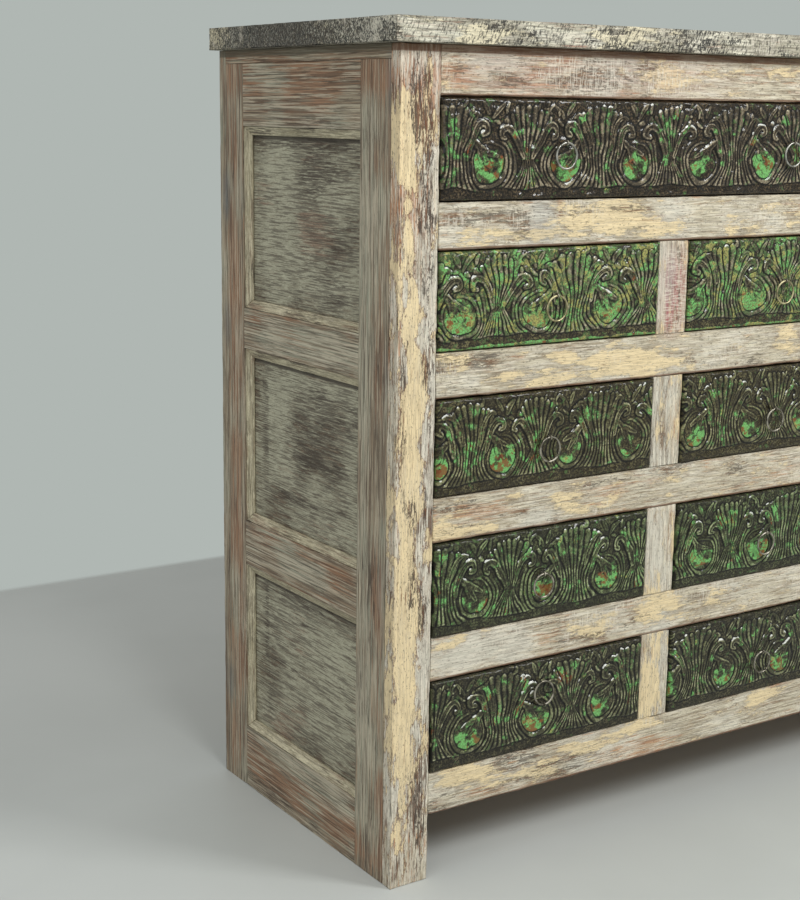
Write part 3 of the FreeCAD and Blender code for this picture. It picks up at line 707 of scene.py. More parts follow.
sideStains = [
    ("warm", 8, 260, 7, 230, .9), ("warm", 45, 300, 18, 200, .5), ("warm", 42, 700, 14, 90, .9),
    ("warm", 28, 990, 30, 70, .7), ("warm", 30, 36, 30, 14, .6), ("pale", 62, 200, 22, 130, .7),
    ("pale", 76, 450, 14, 200, .7), ("pale", 18, 500, 14, 160, .5), ("pale", 60, 950, 24, 100, .7),
    ("pale", 70, 800, 16, 90, .6), ("dark", 36, 430, 8, 90, .5), ("dark", 52, 690, 11, 70, .9),
    ("dark", 74, 610, 8, 60, .4), ("slate", 25, 48, 4, 36, 1), ("slate", 24, 400, 4, 30, .4),
    ("slate", 30, 670, 5, 30, .4),
    ("warm", 240, 38, 170, 22, 1), ("warm", 250, 74, 100, 14, .5), ("pale", 330, 33, 60, 8, .5),
    ("pale", 180, 92, 60, 12, .8), ("dark", 320, 82, 60, 14, .5), ("dark", 240, 104, 120, 4, .5),
    ("pale", 200, 385, 100, 22, .9), ("warm", 310, 362, 60, 12, .7), ("warm", 120, 362, 30, 12, .5),
    ("dark", 150, 345, 50, 7, .6), ("dark", 300, 408, 60, 5, .5),
    ("warm", 130, 690, 40, 18, .7), ("warm", 330, 668, 50, 12, .8), ("pale", 230, 692, 70, 18, .9),
    ("dark", 372, 660, 18, 9, .6), ("dark", 180, 712, 60, 6, .5),
    ("pale", 250, 985, 130, 14, 1), ("pale", 120, 1000, 30, 18, .6), ("warm", 200, 1032, 160, 22, .9),
    ("dark", 250, 1062, 220, 7, .7), ("warm", 350, 990, 40, 12, .5),
    ("warm", 420, 400, 14, 500, .8), ("warm", 412, 850, 14, 150, .6), ("slate", 440, 200, 5, 30, .8),
    ("slate", 443, 380, 4, 30, .5), ("slate", 440, 922, 5, 26, .6), ("pale", 426, 700, 9, 160, .5),
    ("pale", 405, 190, 8, 110, .6), ("pale", 452, 545, 7, 24, 1), ("pale", 452, 130, 7, 60, .7),
    ("pale", 453, 840, 7, 90, .6), ("dark", 452, 640, 7, 30, .6), ("dark", 434, 90, 5, 40, .5),
    # panels
    ("pale", 312, 222, 36, 130, 1.2), ("pale", 180, 300, 70, 16, .5), ("pale", 150, 180, 50, 20, .4),
    ("dark", 190, 200, 80, 90, .5), ("dark", 190, 160, 60, 8, .5), ("dark", 160, 318, 50, 7, .6),
    ("warm", 200, 240, 60, 30, .6), ("warm", 330, 300, 20, 40, .4), ("dark", 240, 124, 130, 5, .8),
    ("dark", 190, 500, 70, 55, .7), ("dark", 250, 605, 60, 8, 1), ("dark", 350, 520, 9, 90, .8),
    ("dark", 140, 600, 20, 6, .8), ("dark", 200, 545, 70, 7, .6), ("pale", 150, 625, 50, 14, .6),
    ("pale", 320, 470, 40, 34, .8), ("pale", 310, 570, 40, 24, .8), ("pale", 120, 520, 12, 80, .6),
    ("pale", 200, 440, 80, 10, .7), ("warm", 130, 470, 20, 20, .4),
    ("pale", 200, 900, 90, 50, .9), ("pale", 230, 800, 110, 40, .8), ("dark", 156, 880, 50, 3, 1.2),
    ("dark", 266, 855, 74, 3, 1.2), ("dark", 160, 820, 40, 3, .9), ("dark", 240, 779, 30, 3, .9),
    ("dark", 349, 800, 7, 60, .8), ("dark", 260, 752, 90, 4, .7), ("dark", 340, 930, 12, 20, .5),
]


# how much of each stain lies everywhere, and how far that varies
stainSpread = {"cream": (0.04, 0.8), "warm": (0.12, 0.7), "dark": (0.12, 0.6), "pale": (0.2, 0.9),
               "blush": (0, 0), "slate": (0, 0)}
stainSettings = {
    "overhang": 16,         # of the slab over the case, mm
    "caseTop": 1070,
    "patch": 70,            # size of the patches that lie everywhere, mm
    "farFront": 480,        # beyond this far along the front nothing is seen, mm
    "slabEnd": 1000,        # the slab's left end reads its marks from this far left, mm
    "rightSide": 1.37,      # the right side reads the left side's marks at heights stretched by this
    "most": 1.3,
}


def stainAt(marks, across, down, seed):
    # six layers for points at across and down, with soft seeded noise under the marks
    s = stainSettings
    layers = {}
    for number, kind in enumerate(stainNames):
        base, varied = stainSpread[kind]
        layers[kind] = np.zeros(len(across))
        if varied:
            layers[kind] = np.array([base + varied * noise.noise(Vector((a / s["patch"], d / s["patch"],
                                                                         seed + number * 7.3)))
                                     for a, d in zip(across, down)])
    for kind, a, d, wide, tall, amount in marks:
        layers[kind] += amount * np.exp(-((across - a) / wide / 1.1) ** 4 - ((down - d) / tall / 1.1) ** 4)
    return [np.clip(layers[kind], 0, s["most"]) for kind in stainNames]


def boardLayers(bm):
    vectors = bm.verts.layers.float_vector
    values = bm.verts.layers.float
    return {name: kind.get(name) or kind.new(name)
            for name, kind in (("grainPlace", vectors), ("stainOne", vectors), ("stainTwo", vectors),
                               ("edgeNear", values), ("underTop", values))}


def stainBoard(part, layers, marks, low, seed):
    # the left side, its mirror on the right, the front and the slab each read their marks their own way
    s = stainSettings
    co = np.array([v.co for v in part.verts]) * 1000
    left = cadLow.x * 1000 + s["overhang"]
    if marks is sideStains:
        across = co[:, 1] - (cadLow.y * 1000 + s["overhang"])
        if low.x > 0:
            marks = [(kind, a, (d * s["rightSide"]) % s["caseTop"], *rest) for kind, a, d, *rest in marks]
    else:
        onEnd = co[:, 0] < left - 12
        across = np.where(onEnd, co[:, 1] - s["slabEnd"], co[:, 0] - left)
        if marks is frontStains:
            # the unseen right end is marked like the left, mirrored
            mirrored = -2 * left - across
            across = np.where((across > s["farFront"]) & (mirrored < s["farFront"]), mirrored, across)
    values = stainAt(marks or [], across, s["caseTop"] - co[:, 2], seed)
    for index, vert in enumerate(part.verts):
        vert[layers["stainOne"]] = Vector([v[index] for v in values[:3]])
        vert[layers["stainTwo"]] = Vector([v[index] for v in values[3:]])


def grainSpot(co, low, grain, offset):
    # the grain runs along the first axis, and each board starts elsewhere in it
    return Vector((co[grain] - low[grain], *(co[i] for i in range(3) if i != grain))) + offset


def eased(bm):
    bmesh.ops.recalc_face_normals(bm, faces=bm.faces)
    for face in bm.faces:
        face.smooth = True


wornSettings = {
    "shade": 20 * mm,       # reach of the strip under the slab, part brown stain and part painted shade, and of the painted shade at a rail's foot
    "footShade": 0.32,      # how much weaker it is there
    "edgeNoise": 60,        # how fine the wear, the chips and the waves are, per m
    "chipNoise": 22,
    "waveNoise": 18,
    "chipFrom": 0.28,
    "leastWear": 0.15 * mm,
    "above": 9.0,           # higher than anything, for boards without a shade
}


def wornBoard(bm, low, high, s, seed):
    w = wornSettings
    part = bmesh.new()
    layers = boardLayers(part)
    size = high - low
    bmesh.ops.create_cube(part, size=1.0, matrix=Matrix.Translation((low + high) / 2)
                          @ Matrix.Diagonal(size).to_4x4())
    steps = [max(3, round(size[i] / s["pitch"])) for i in range(3)]
    for i in range(3):
        along = [e for e in part.edges if abs((e.verts[0].co - e.verts[1].co)[i]) > size[i] * 0.9]
        bmesh.ops.subdivide_edges(part, edges=along, cuts=steps[i] - 1, use_grid_fill=True)
    # the outermost rows close up to the edges
    for vert in part.verts:
        for i in range(3):
            step = size[i] / steps[i]
            if abs(vert.co[i] - low[i] - step) < step * 0.1:
                vert.co[i] = low[i] + min(s["rim"], step)
            elif abs(high[i] - vert.co[i] - step) < step * 0.1:
                vert.co[i] = high[i] - min(s["rim"], step)
    strip = s["under"](low, high) if "under" in s else w["above"]
    grain = s.get("grain", max(range(3), key=lambda i: size[i]))
    draw = random.Random(seed)
    offset = Vector([draw.uniform(0, 40) for _ in range(3)])
    stainBoard(part, layers, s.get("stains"), low, draw.uniform(0, 90))
    for vert in part.verts:
        away = [min(vert.co[i] - low[i], high[i] - vert.co[i]) for i in range(3)]
        onFace = [i for i in range(3) if away[i] < 1e-6]
        vert[layers["edgeNear"]] = max(0.0, min(1.0, 1 - sorted(away)[1] / s["wearReach"]))
        # painted shade at a rail's foot, and under the slab a strip of brown stain and painted shade
        foot = 1 - (vert.co.z - low.z) / w["shade"] - w["footShade"] if s.get("foot") else 0.0
        vert[layers["underTop"]] = max(1 - (strip - vert.co.z) / w["shade"], foot)
        vert[layers["grainPlace"]] = grainSpot(vert.co, low, grain, offset)
        spot = vert.co + offset * 0.1
        if len(onFace) >= 2:
            bite = s["wear"] * (0.55 + 0.9 * noise.noise(spot * w["edgeNoise"]))
            chip = noise.noise(spot * w["chipNoise"] + Vector((9, 3, 5)))
            bite = max(bite + s["chip"] * max(0.0, chip - w["chipFrom"]) * 2.2, w["leastWear"])
        else:
            bite = s["wave"] * (0.5 + 0.5 * noise.noise(spot * w["waveNoise"]))
        for i in onFace:
            inward = 1 if vert.co[i] - low[i] < high[i] - vert.co[i] else -1
            vert.co[i] += inward * bite
    eased(part)
    addTo(bm, part)


def addTo(bm, part):
    mesh = bpy.data.meshes.new("part")
    part.to_mesh(mesh)
    part.free()
    bm.from_mesh(mesh)
    bpy.data.meshes.remove(mesh)


def dressed(piece, body, node, material):
    piece.data.materials.append(material)
    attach(piece, body)
    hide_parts(node)
    return piece


def wornPiece(bm, body, node, material):
    piece = newPiece(node + "_worn", bm)
    piece.modifiers.new("weighted", "WEIGHTED_NORMAL").keep_sharp = False
    return dressed(piece, body, node, material)


def makeBoards(node, body, material, settings):
    bm = bmesh.new()
    boardLayers(bm)
    for number, (low, high) in enumerate(solidBoxes(node)):
        wornBoard(bm, low, high, settings, f"{node}{number}")
    return wornPiece(bm, body, node, material)


seenBoard = {"pitch": 8 * mm, "rim": 1.6 * mm, "wear": 1.1 * mm, "chip": 3.0 * mm, "wave": 0.35 * mm,
             "wearReach": 9 * mm}


def caseTop(low, high):
    return stainSettings["caseTop"] * mm


def stripAbove(low, high):
    # the lower edge of the moulding along a panel's top, below which a shadow is painted on the panel
    strips = solidBoxes("left_panel_mouldings")
    lying = [start.z for start, end in strips if (end - start).y > (end - start).z]
    return min([z for z in lying if (low.z + high.z) / 2 < z < high.z] or [wornSettings["above"]])


frontBoard = dict(seenBoard, pitch=6 * mm, wear=0.8 * mm, under=caseTop, stains=frontStains)
railBoard = dict(frontBoard, foot=True)
sideBoard = dict(seenBoard, pitch=7 * mm, rim=1.1 * mm, wear=0.45 * mm, chip=1.4 * mm, wearReach=5 * mm,
                 under=caseTop, stains=sideStains)
panelBoard = dict(seenBoard, pitch=6 * mm, under=stripAbove, stains=sideStains, grain=1)
hiddenBoard = {"pitch": 60 * mm, "rim": 1.2 * mm, "wear": 0.8 * mm, "chip": 0.0, "wave": 0.0,
               "wearReach": 6 * mm}

mouldingSettings = {"pitch": 9 * mm, "round": 0.9 * mm, "wear": 0.5 * mm, "wearNoise": 70, "edgeNear": 0.25}


def makeMoulding(node, material):
    # each strip is the CAD's own, cut into short lengths, eased along its edges and worn inwards
    s = mouldingSettings
    bm = bmesh.new()
    boardLayers(bm)
    for number, corners in enumerate(nodeSolids(node)):
        part = bmesh.new()
        layers = boardLayers(part)
        spots = sorted(set(corners))
        verts = [part.verts.new(p) for p in spots]
        bmesh.ops.convex_hull(part, input=verts)
        bmesh.ops.dissolve_limit(part, angle_limit=0.01, verts=part.verts, edges=part.edges)
        low, high = box(spots)
        size = high - low
        grain = max(range(3), key=lambda i: size[i])
        bmesh.ops.bevel(part, geom=part.edges, offset=s["round"], segments=2, profile=0.5, affect="EDGES",
                        material=-1)
        normal = Vector([1.0 if i == grain else 0.0 for i in range(3)])
        for step in range(1, round(size[grain] / s["pitch"])):
            bmesh.ops.bisect_plane(part, geom=part.verts[:] + part.edges[:] + part.faces[:], dist=1e-6,
                                   plane_co=low + normal * step * s["pitch"], plane_no=normal)
        draw = random.Random(f"{node}{number}")
        offset = Vector([draw.uniform(0, 40) for _ in range(3)])
        stainBoard(part, layers, sideStains, low, draw.uniform(0, 90))
        middle = (low + high) / 2
        for vert in part.verts:
            inner = middle.copy()
            inner[grain] = vert.co[grain]
            inward = inner - vert.co
            vert[layers["edgeNear"]] = s["edgeNear"]
            vert[layers["grainPlace"]] = grainSpot(vert.co, low, grain, offset)
            depth = s["wear"] * (0.5 + 0.5 * noise.noise(vert.co * s["wearNoise"]))
            vert.co += inward / max(inward.length, 1e-6) * depth
        eased(part)
        addTo(bm, part)
    return wornPiece(bm, "carcass", node, material)


# Embossed facings

frieze = {
    "period": 236.0,        # from one fan to the next, mm
    "height": 122.0,
    "cell": 0.5,            # spacing of the raised map, mm
    "band": 13.0,           # plain band along the bottom
    "highest": 3.7,
    # blades in a waisted outline: half its width at heights, where they end, how much lower the outer
    # ones end, and how thick the paint is on them
    "fan": {
        "blades": 9, "tip": 112, "fall": 20, "paint": 1.0,
        "half": ((12, 34), (22, 27), (34, 17), (46, 9.5), (56, 11), (68, 18), (80, 27), (92, 36), (104, 43),
                 (116, 48)),
    },
    "sheaf": {
        "blades": 11, "tip": 112, "fall": 26, "paint": 0.85,
        "half": ((12, 47), (18, 42), (26, 34), (34, 28.5), (43, 27), (52, 28), (60, 31), (70, 37), (80, 44),
                 (92, 52), (106, 60), (120, 66)),
    },
    "roundelOut": 59.0,     # from the fan's middle to a roundel's
    "roundelHigh": 43.0,
    "roundelRadius": 26.0,
    "rims": ((6.5, 80), (12.0, 62)),        # rims outside the roundel: how far out, half their arc
    # leaves as strokes from the fan's or the sheaf's middle, with their width and height: the outer ones of
    # both curl over, and tips stand along the top between them
    "leaves": (
        ("fan", ((7, 52), (14, 68), (23, 82), (33, 89), (41, 86), (43, 78), (37, 75)), 5.0, 3.4),
        ("sheaf", ((27, 52), (30, 66), (36, 80), (45, 89), (54, 89), (56, 81), (50, 78)), 5.6, 3.6),
        ("sheaf", ((16, 62), (20, 80), (28, 95), (38, 102), (45, 100)), 3.8, 3.0),
        ("fan", ((55, 99), (50, 108), (41, 116)), 3.2, 1.7),
        ("fan", ((61, 104), (64, 110), (69, 117)), 3.2, 1.5),
    ),
    # leaves that hang into the roundel from the sheaf's side: their ends from its middle, and widths
    "hanging": ((0, -2, 5.0), (11, 4, 4.4), (-10, 9, 4.6), (3, 15, 3.6)),
    "hangFrom": ((24, 28), (15, 20)),
    "hangHigh": 2.9,
    "smallLeaves": 20,      # they crowd the top
}


def lobes(along, count):
    # ridges with open grooves between them, for along from -1 to 1
    part = (along * count / 2 + 0.5 * (count % 2)) % 1
    return np.clip(1 - (2 * part - 1) ** 2, 0, 1) ** 1.3


def curvePoints(corners, spacing=0.7):
    pts = np.array(corners, float)
    pts = np.vstack([2 * pts[0] - pts[1], pts, 2 * pts[-1] - pts[-2]])
    found = []
    for s in range(len(pts) - 3):
        a, b, c, d = pts[s:s + 4]
        count = max(3, int(np.hypot(*(c - b)) / spacing))
        for t in np.linspace(0, 1, count, endpoint=(s == len(pts) - 4)):
            found.append(0.5 * ((2 * b) + (c - a) * t + (2 * a - 5 * b + 4 * c - d) * t * t
                                + (3 * b - a - 3 * c + d) * t ** 3))
    return np.array(found)


def stroke(field, xs, zs, corners, width, high, form="leaf"):
    path = curvePoints(corners)
    reach = width * 1.5
    for shift in (-frieze["period"], 0, frieze["period"]):
        p = path + np.array([shift, 0.0])
        cols = np.where((xs > p[:, 0].min() - reach) & (xs < p[:, 0].max() + reach))[0]
        rows = np.where((zs > p[:, 1].min() - reach) & (zs < p[:, 1].max() + reach))[0]
        if not len(cols) or not len(rows):
            continue
        gx, gz = np.meshgrid(xs[cols], zs[rows])
        apart = (gx[..., None] - p[:, 0]) ** 2 + (gz[..., None] - p[:, 1]) ** 2
        t = apart.argmin(-1) / (len(p) - 1)
        w = width * (0.35 + 0.65 * np.sin(np.pi * np.clip(t * 0.85 + 0.08, 0, 1)) ** 0.7)
        r = np.sqrt(apart.min(-1)) / w
        if form == "leaf":      # a rounded leaf with a vein, soft hollows beside it and a steep outer edge
            lip = np.exp(-((r - 0.62) / 0.32) ** 2)
            vein = 0.9 * np.exp(-(r / 0.2) ** 2)
            h = high * (0.6 + 0.4 * np.maximum(lip, vein)) * np.sqrt(np.clip((1.12 - r) / 0.4, 0, 1))
        else:
            h = high * np.sqrt(np.clip(1 - r * r, 0, 1))
        block = field[np.ix_(rows, cols)]
        field[np.ix_(rows, cols)] = np.maximum(block, h)


def softened(field, rounds):
    for _ in range(rounds):
        field = (np.roll(field, 1, 1) + 2 * field + np.roll(field, -1, 1)) / 4
        field = (np.vstack([field[1:], field[-1:]]) + 2 * field + np.vstack([field[:1], field[:-1]])) / 4
    return field


def friezeMaps():
    # one period of the ornament: its height, where it is crest or crease, and where the paint is thick
    f = frieze
    xs = np.arange(0, f["period"], f["cell"])
    zs = np.arange(0, f["height"] + f["cell"], f["cell"])
    gx, gz = np.meshgrid(xs, zs)
    half = f["period"] / 2
    fromFan = (gx + half) % f["period"] - half
    fromSheaf = gx - half
    field = np.zeros_like(gx)
    paint = np.full_like(gx, 0.08)
    chance = np.random.default_rng(7).random((40, 40))
    out = np.hypot(np.abs(fromFan) - f["roundelOut"], gz - f["roundelHigh"])
    radius = f["roundelRadius"]

    def spray(across, one):
        # blades that follow the outline, each with its own rounded tip
        wide = softened(np.interp(gz, *zip(*one["half"])), 10)
        s = across / wide
        count = one["blades"]
        bulge = lobes(s, count)
        number = np.floor(s * count / 2 + 0.5 * (count % 2))
        top = one["tip"] - one["fall"] * s * s + 3.5 * bulge + 1.5 * np.sin(number * 2.4)
        body = (np.clip((1 - np.abs(s)) * wide / 1.2, 0, 1) * np.clip((top - gz) / 1.4, 0, 1)
                * np.clip((out - radius - 2.5) / 1.5, 0, 1))
        part = gz / 12 + number * 0.37
        step = np.floor(part)
        blade, level = (number % 40).astype(int), step.astype(int) % 40
        thick = chance[blade, level]
        thick = thick + (chance[blade, (level + 1) % 40] - thick) * (part - step)
        rise = 0.3 + 2.6 * bulge * (0.6 + 0.4 * np.roll(thick, 9, 0))
        return body * rise, body * np.clip(thick * 1.6 - 0.3, 0, 1) * one["paint"] * (1 - 0.6 * bulge ** 2)

    for rise, thick in (spray(fromSheaf, f["sheaf"]), spray(fromFan, f["fan"])):
        field = np.maximum(field, rise)
        paint = np.maximum(paint, thick)
    # roundels: a dished disc in a rim that is thick below and on the fan's side, and rims outside it
    turn = np.degrees(np.arctan2(gz - f["roundelHigh"], np.abs(fromFan) - f["roundelOut"])) % 360
    thick = 0.35 + 0.65 * np.clip(np.cos(np.radians(turn - 235) * 0.8), 0, 1)
    thick *= 1 - np.clip(1 - np.abs(turn - 66) / 30, 0, 1)
    rim = np.sqrt(np.clip(1 - ((out - radius) / (3.2 * thick + 0.4)) ** 2, 0, 1)) * 3.1 * thick
    inside = np.clip((radius - 2 - out) / 2, 0, 1)
    field = np.where(inside > 0, field * (1 - inside), field)
    field = np.maximum(field, inside * (0.4 + 1.1 * (1 - np.clip(out / radius, 0, 1) ** 2)))
    field = np.maximum(field, rim)
    for beyond, span in f["rims"]:
        ring = np.sqrt(np.clip(1 - ((out - radius - beyond) / 2.4) ** 2, 0, 1))
        ring *= np.clip(1 - np.abs(turn - 195) / span, 0, 1) ** 0.4
        ring *= np.clip((np.abs(fromFan) - 8) / 3, 0, 1)
        field = np.maximum(field, ring * 2.1)
        paint = np.maximum(paint, (ring > 0.3) * 0.3)
    low = np.clip(0.72 - (gz - f["roundelHigh"]) / 30, 0.1, 1)
    paint = np.where(inside > 0, inside * low, paint)
    for side in (-1, 1):
        for start, corners, width, high in f["leaves"]:
            spots = [(side * (half - x if start == "sheaf" else x), z) for x, z in corners]
            stroke(field, xs, zs, spots, width, high)
        for *end, width in f["hanging"]:
            spots = [(side * (f["roundelOut"] + x), f["roundelHigh"] + z) for x, z in (*f["hangFrom"], end)]
            stroke(field, xs, zs, spots, width, f["hangHigh"])
            stroke(paint, xs, zs, spots[1:], width, 0.3, "ridge")
    draw = np.random.default_rng(11)
    for number in range(f["smallLeaves"]):
        x, z, lean, long = draw.uniform((0, 88, -1.3, 6), (f["period"], 113, 1.3, 14))
        bend = lean + draw.uniform(-0.9, 0.9)
        middle = (x + long / 2 * math.sin(lean), z + long / 2 * math.cos(lean))
        end = (middle[0] + long / 2 * math.sin(bend), middle[1] + long / 2 * math.cos(bend))
        stroke(field, xs, zs, [(x, z), middle, end], draw.uniform(1.8, 3.6), draw.uniform(1.0, 2.4), "ridge")
    field = softened(field, 2)
    field *= np.clip((gz - f["band"]) / 2.0, 0, 1)
    paint *= np.clip((gz - f["band"]) / 2.0, 0, 1)
    crest = 0.5 + (field - softened(field, 12)) / 1.3
    return np.clip(field / f["highest"], 0, 1), np.clip(crest, 0, 1), softened(paint, 2)


friezeHeight, friezeCrest, friezePaint = friezeMaps()
print("frieze embossed")


def sampled(field, x, z):
    f = frieze
    col = (x % f["period"]) / f["cell"]
    row = np.clip(z / f["cell"], 0, field.shape[0] - 1.001)
    c0 = np.floor(col).astype(int) % field.shape[1]
    c1 = (c0 + 1) % field.shape[1]
    r0 = np.floor(row).astype(int)
    fc = col - np.floor(col)
    fr = row - r0
    return ((field[r0, c0] * (1 - fc) + field[r0, c1] * fc) * (1 - fr)
            + (field[r0 + 1, c0] * (1 - fc) + field[r0 + 1, c1] * fc) * fr)


# How the frieze lies on each row's facings: where a fan's middle is from the left edge in mm, how far
# apart the fans are, how much paint lies between and along the foot, how deep the band is dented, how the
# paint has worn, how the ridge tops are lightened for wear and as painted highlights, and the ground under it
rowFinish = {
    1: {"fan": 129, "period": 236, "spread": 0.05, "band": 0, "bandDents": 1.0, "worn": 0.8, "dull": 0.3,
        "blotchFrom": 0.64, "barePull": 0.3, "ground": (22, 17, 11), "dust": (92, 78, 56),
        "ridge": (164, 152, 126)},
    2: {"fan": 91, "period": 240, "spread": 0.45, "band": 0.9, "bandDents": 0.6, "worn": 0.85, "dull": 0.8,
        "patchFrom": 0.635, "patchPull": 0.24, "tintFrom": 0.545, "tintPull": 0.24, "blotchFrom": 0.52,
        "rustFrom": 0.68, "barePull": 0.43, "ground": (36, 31, 22), "dust": (106, 100, 68),
        "ridge": (168, 162, 134)},
    3: {"fan": 156, "period": 213, "spread": 0.12, "band": 0, "bandDents": 0.5, "worn": 0.8, "dull": 0.3,
        "rustFrom": 0.64, "ground": (38, 32, 20), "dust": (98, 92, 62), "ridge": (144, 146, 104)},
    4: {"fan": 118, "period": 222, "spread": 0.12, "band": 0, "bandDents": 0.5, "worn": 0.85, "dull": 0.3,
        "rustFrom": 0.61, "ground": (32, 30, 19), "dust": (88, 92, 62), "ridge": (138, 156, 106)},
    5: {"fan": 228, "period": 228, "spread": 0.08, "band": 0, "bandDents": 0.5, "worn": 0.8, "dull": 0.3,
        "rustFrom": 0.60, "ground": (30, 27, 18), "dust": (88, 84, 60), "ridge": (140, 146, 106)},
}

facingSettings = {
    "pitch": 1.12 * mm,
    "longPitch": 1.26 * mm,     # on the long drawer
    "depth": 3.2 * mm,          # height of the highest ornament over the ground
    "fold": 16 * mm,
    "sheet": 0.8 * mm,
    "corner": 2.0 * mm,
    "dents": 1.5 * mm,
    "grit": 0.15 * mm,
    # sizes of the noises across and up, mm: two that sway the frieze, a swell, a crumpling and a grain
    "noiseSizes": ((34, 34), (34, 34), (40, 40), (13, 10), (4.5, 4.0)),
    "sway": (6.0, 4.5),
    "crumple": (1.1, 1.0),
    "edge": 0.8,                # no relief this near to the edge, mm, and the whole of it 2.5 further in
    "fadeIn": 2.5,
    "foldShape": (0.45, 0, 0),  # crest, paint and height where the sheet is folded back
}


def makeFacing(drawer, row, column, material):
    s = facingSettings
    look = rowFinish[row]
    low, high = facingBox(drawer)
    width = high.x - low.x
    height = high.z - low.z
    pitch = s["longPitch"] if width > 0.6 else s["pitch"]
    bm = bmesh.new()
    bmesh.ops.create_grid(bm, x_segments=round(width / pitch), y_segments=round(height / pitch), size=0.5)
    bmesh.ops.transform(bm, verts=bm.verts, matrix=Matrix.Translation(
        ((low.x + high.x) / 2, low.y, (low.z + high.z) / 2))
        @ Matrix.Rotation(math.radians(90), 4, "X") @ Matrix.Diagonal((width, height, 1)).to_4x4())
    co = np.array([v.co for v in bm.verts])
    x = (co[:, 0] - low.x) * 1000
    z = (co[:, 2] - low.z) * 1000
    draw = random.Random(f"facing {drawer}")
    starts = [draw.uniform(0, 60) for _ in range(6)]
    phase = look["fan"] + (0 if column == 1 else draw.uniform(0, look["period"]))
    offset = Vector([draw.uniform(0, 40) for _ in range(3)])
    aside, upward, swell, crumple, grain = np.array([
        [noise.noise(Vector((a / wide, b / tall, start)))
         for (wide, tall), start in zip(s["noiseSizes"], starts)] for a, b in zip(x, z)]).T
    u = (x - phase) * frieze["period"] / look["period"] + aside * s["sway"][0] + crumple * s["crumple"][0]
    w = z + upward * s["sway"][1] + crumple * s["crumple"][1]
    edge = np.minimum.reduce([x, width * 1000 - x, z, height * 1000 - z])
    fade = np.clip((edge - s["edge"]) / s["fadeIn"], 0, 1)
    raised = sampled(friezeHeight, u, w) * np.clip(0.86 + 0.5 * swell, 0.5, 1.0) * fade
    dent = np.clip(0.5 + crumple, 0, 1) * (1 - raised) * fade * np.clip((z - 10) / 8, look["bandDents"], 1)
    grit = np.clip(0.5 + grain, 0, 1) * fade
    roll = s["corner"] * (1 - np.sqrt(np.clip(1 - np.clip(1 - edge / (s["corner"] * 1000), 0, 1) ** 2, 0, 1)))
    shift = roll - raised * s["depth"] - dent * s["dents"] - grit * s["grit"]
    crest = sampled(friezeCrest, u, w)
    painted = np.clip(sampled(friezePaint, u, w) * (0.95 + 1.2 * swell + 0.7 * crumple), 0, 1)
    painted = np.maximum(painted, look["spread"] * np.clip((z - 14) / 4, 0, 1))
    painted = np.maximum(painted, look["band"] * np.clip((4.5 + 3 * swell - z) / 1.5, 0, 1))
    # how far the relief faces up, where painted glints of light go and where hands and cloths have rubbed it
    fall = sampled(friezeHeight, u, w - 0.8) - sampled(friezeHeight, u, w + 0.8) + 0.25 * crumple
    rubbed = np.clip(fall * 2.2, 0, 1) * fade * np.clip(0.75 + swell + (z - 60) / 200, 0, 1)
    vectors = bm.verts.layers.float_vector
    layers = vectors.new("shape"), vectors.new("frontPlace"), bm.verts.layers.float.new("upward")
    shapeLayer, placeLayer, upLayer = layers
    for vert, lift, c, p, h, up in zip(bm.verts, shift, crest, painted, raised, rubbed):
        vert[shapeLayer] = Vector((c, p, h))
        vert[upLayer] = up
        vert[placeLayer] = Vector((vert.co.x, vert.co.z, 0)) + offset
        vert.co.y += lift
    foldBack(bm, low, high, layers, offset)
    eased(bm)
    piece = newPiece(drawer + "_embossed", bm)
    return dressed(piece, drawer, drawer + "_facing", material)


def foldBack(bm, low, high, layers, offset):
    # round the front board, with the sheet's thickness inside the fold
    s = facingSettings
    shapeLayer, placeLayer, upLayer = layers
    rim = [e for e in bm.edges if e.is_boundary]
    for depth, inset in ((low.y + s["fold"] + s["sheet"], 0), (None, s["sheet"]), (low.y + s["sheet"], 0)):
        grown = bmesh.ops.extrude_edge_only(bm, edges=rim)["geom"]
        verts = {g for g in grown if isinstance(g, bmesh.types.BMVert)}
        rim = [g for g in grown if isinstance(g, bmesh.types.BMEdge) and set(g.verts) <= verts]
        for vert in verts:
            if depth is not None:
                vert.co.y = depth
            if inset:
                for i in (0, 2):
                    vert.co[i] += inset * ((vert.co[i] < low[i] + 1e-4) - (vert.co[i] > high[i] - 1e-4))
            vert[placeLayer] = Vector((vert.co.x, vert.co.z, vert.co.y)) + offset
            vert[shapeLayer] = Vector(s["foldShape"])
            vert[upLayer] = 0.0
    bmesh.ops.contextual_create(bm, geom=rim)


def facingBox(drawer):
    return max(solidBoxes(drawer + "_facing"), key=lambda ends: ends[1].x - ends[0].x)


# Ring pulls and the split pins they hang from

ringSettings = {"wire": 1.5 * mm, "dents": 0.12 * mm, "dentNoise": 260, "segments": 72, "round": 14}
pinSettings = {
    "eye": 2.7 * mm, "eyeSegments": 32, "eyeRound": 12,
    "wire": 0.9 * mm, "legRound": 10,
    "flat": 1.2 * mm,       # how near to the back of the board the legs bend
    "bend": 80,             # degrees
    "spread": 1.6 * mm,     # how far the bend goes, and how far the flat end beyond it, and how much deeper
    "end": 5.8 * mm,
    "sink": 0.3 * mm,
}


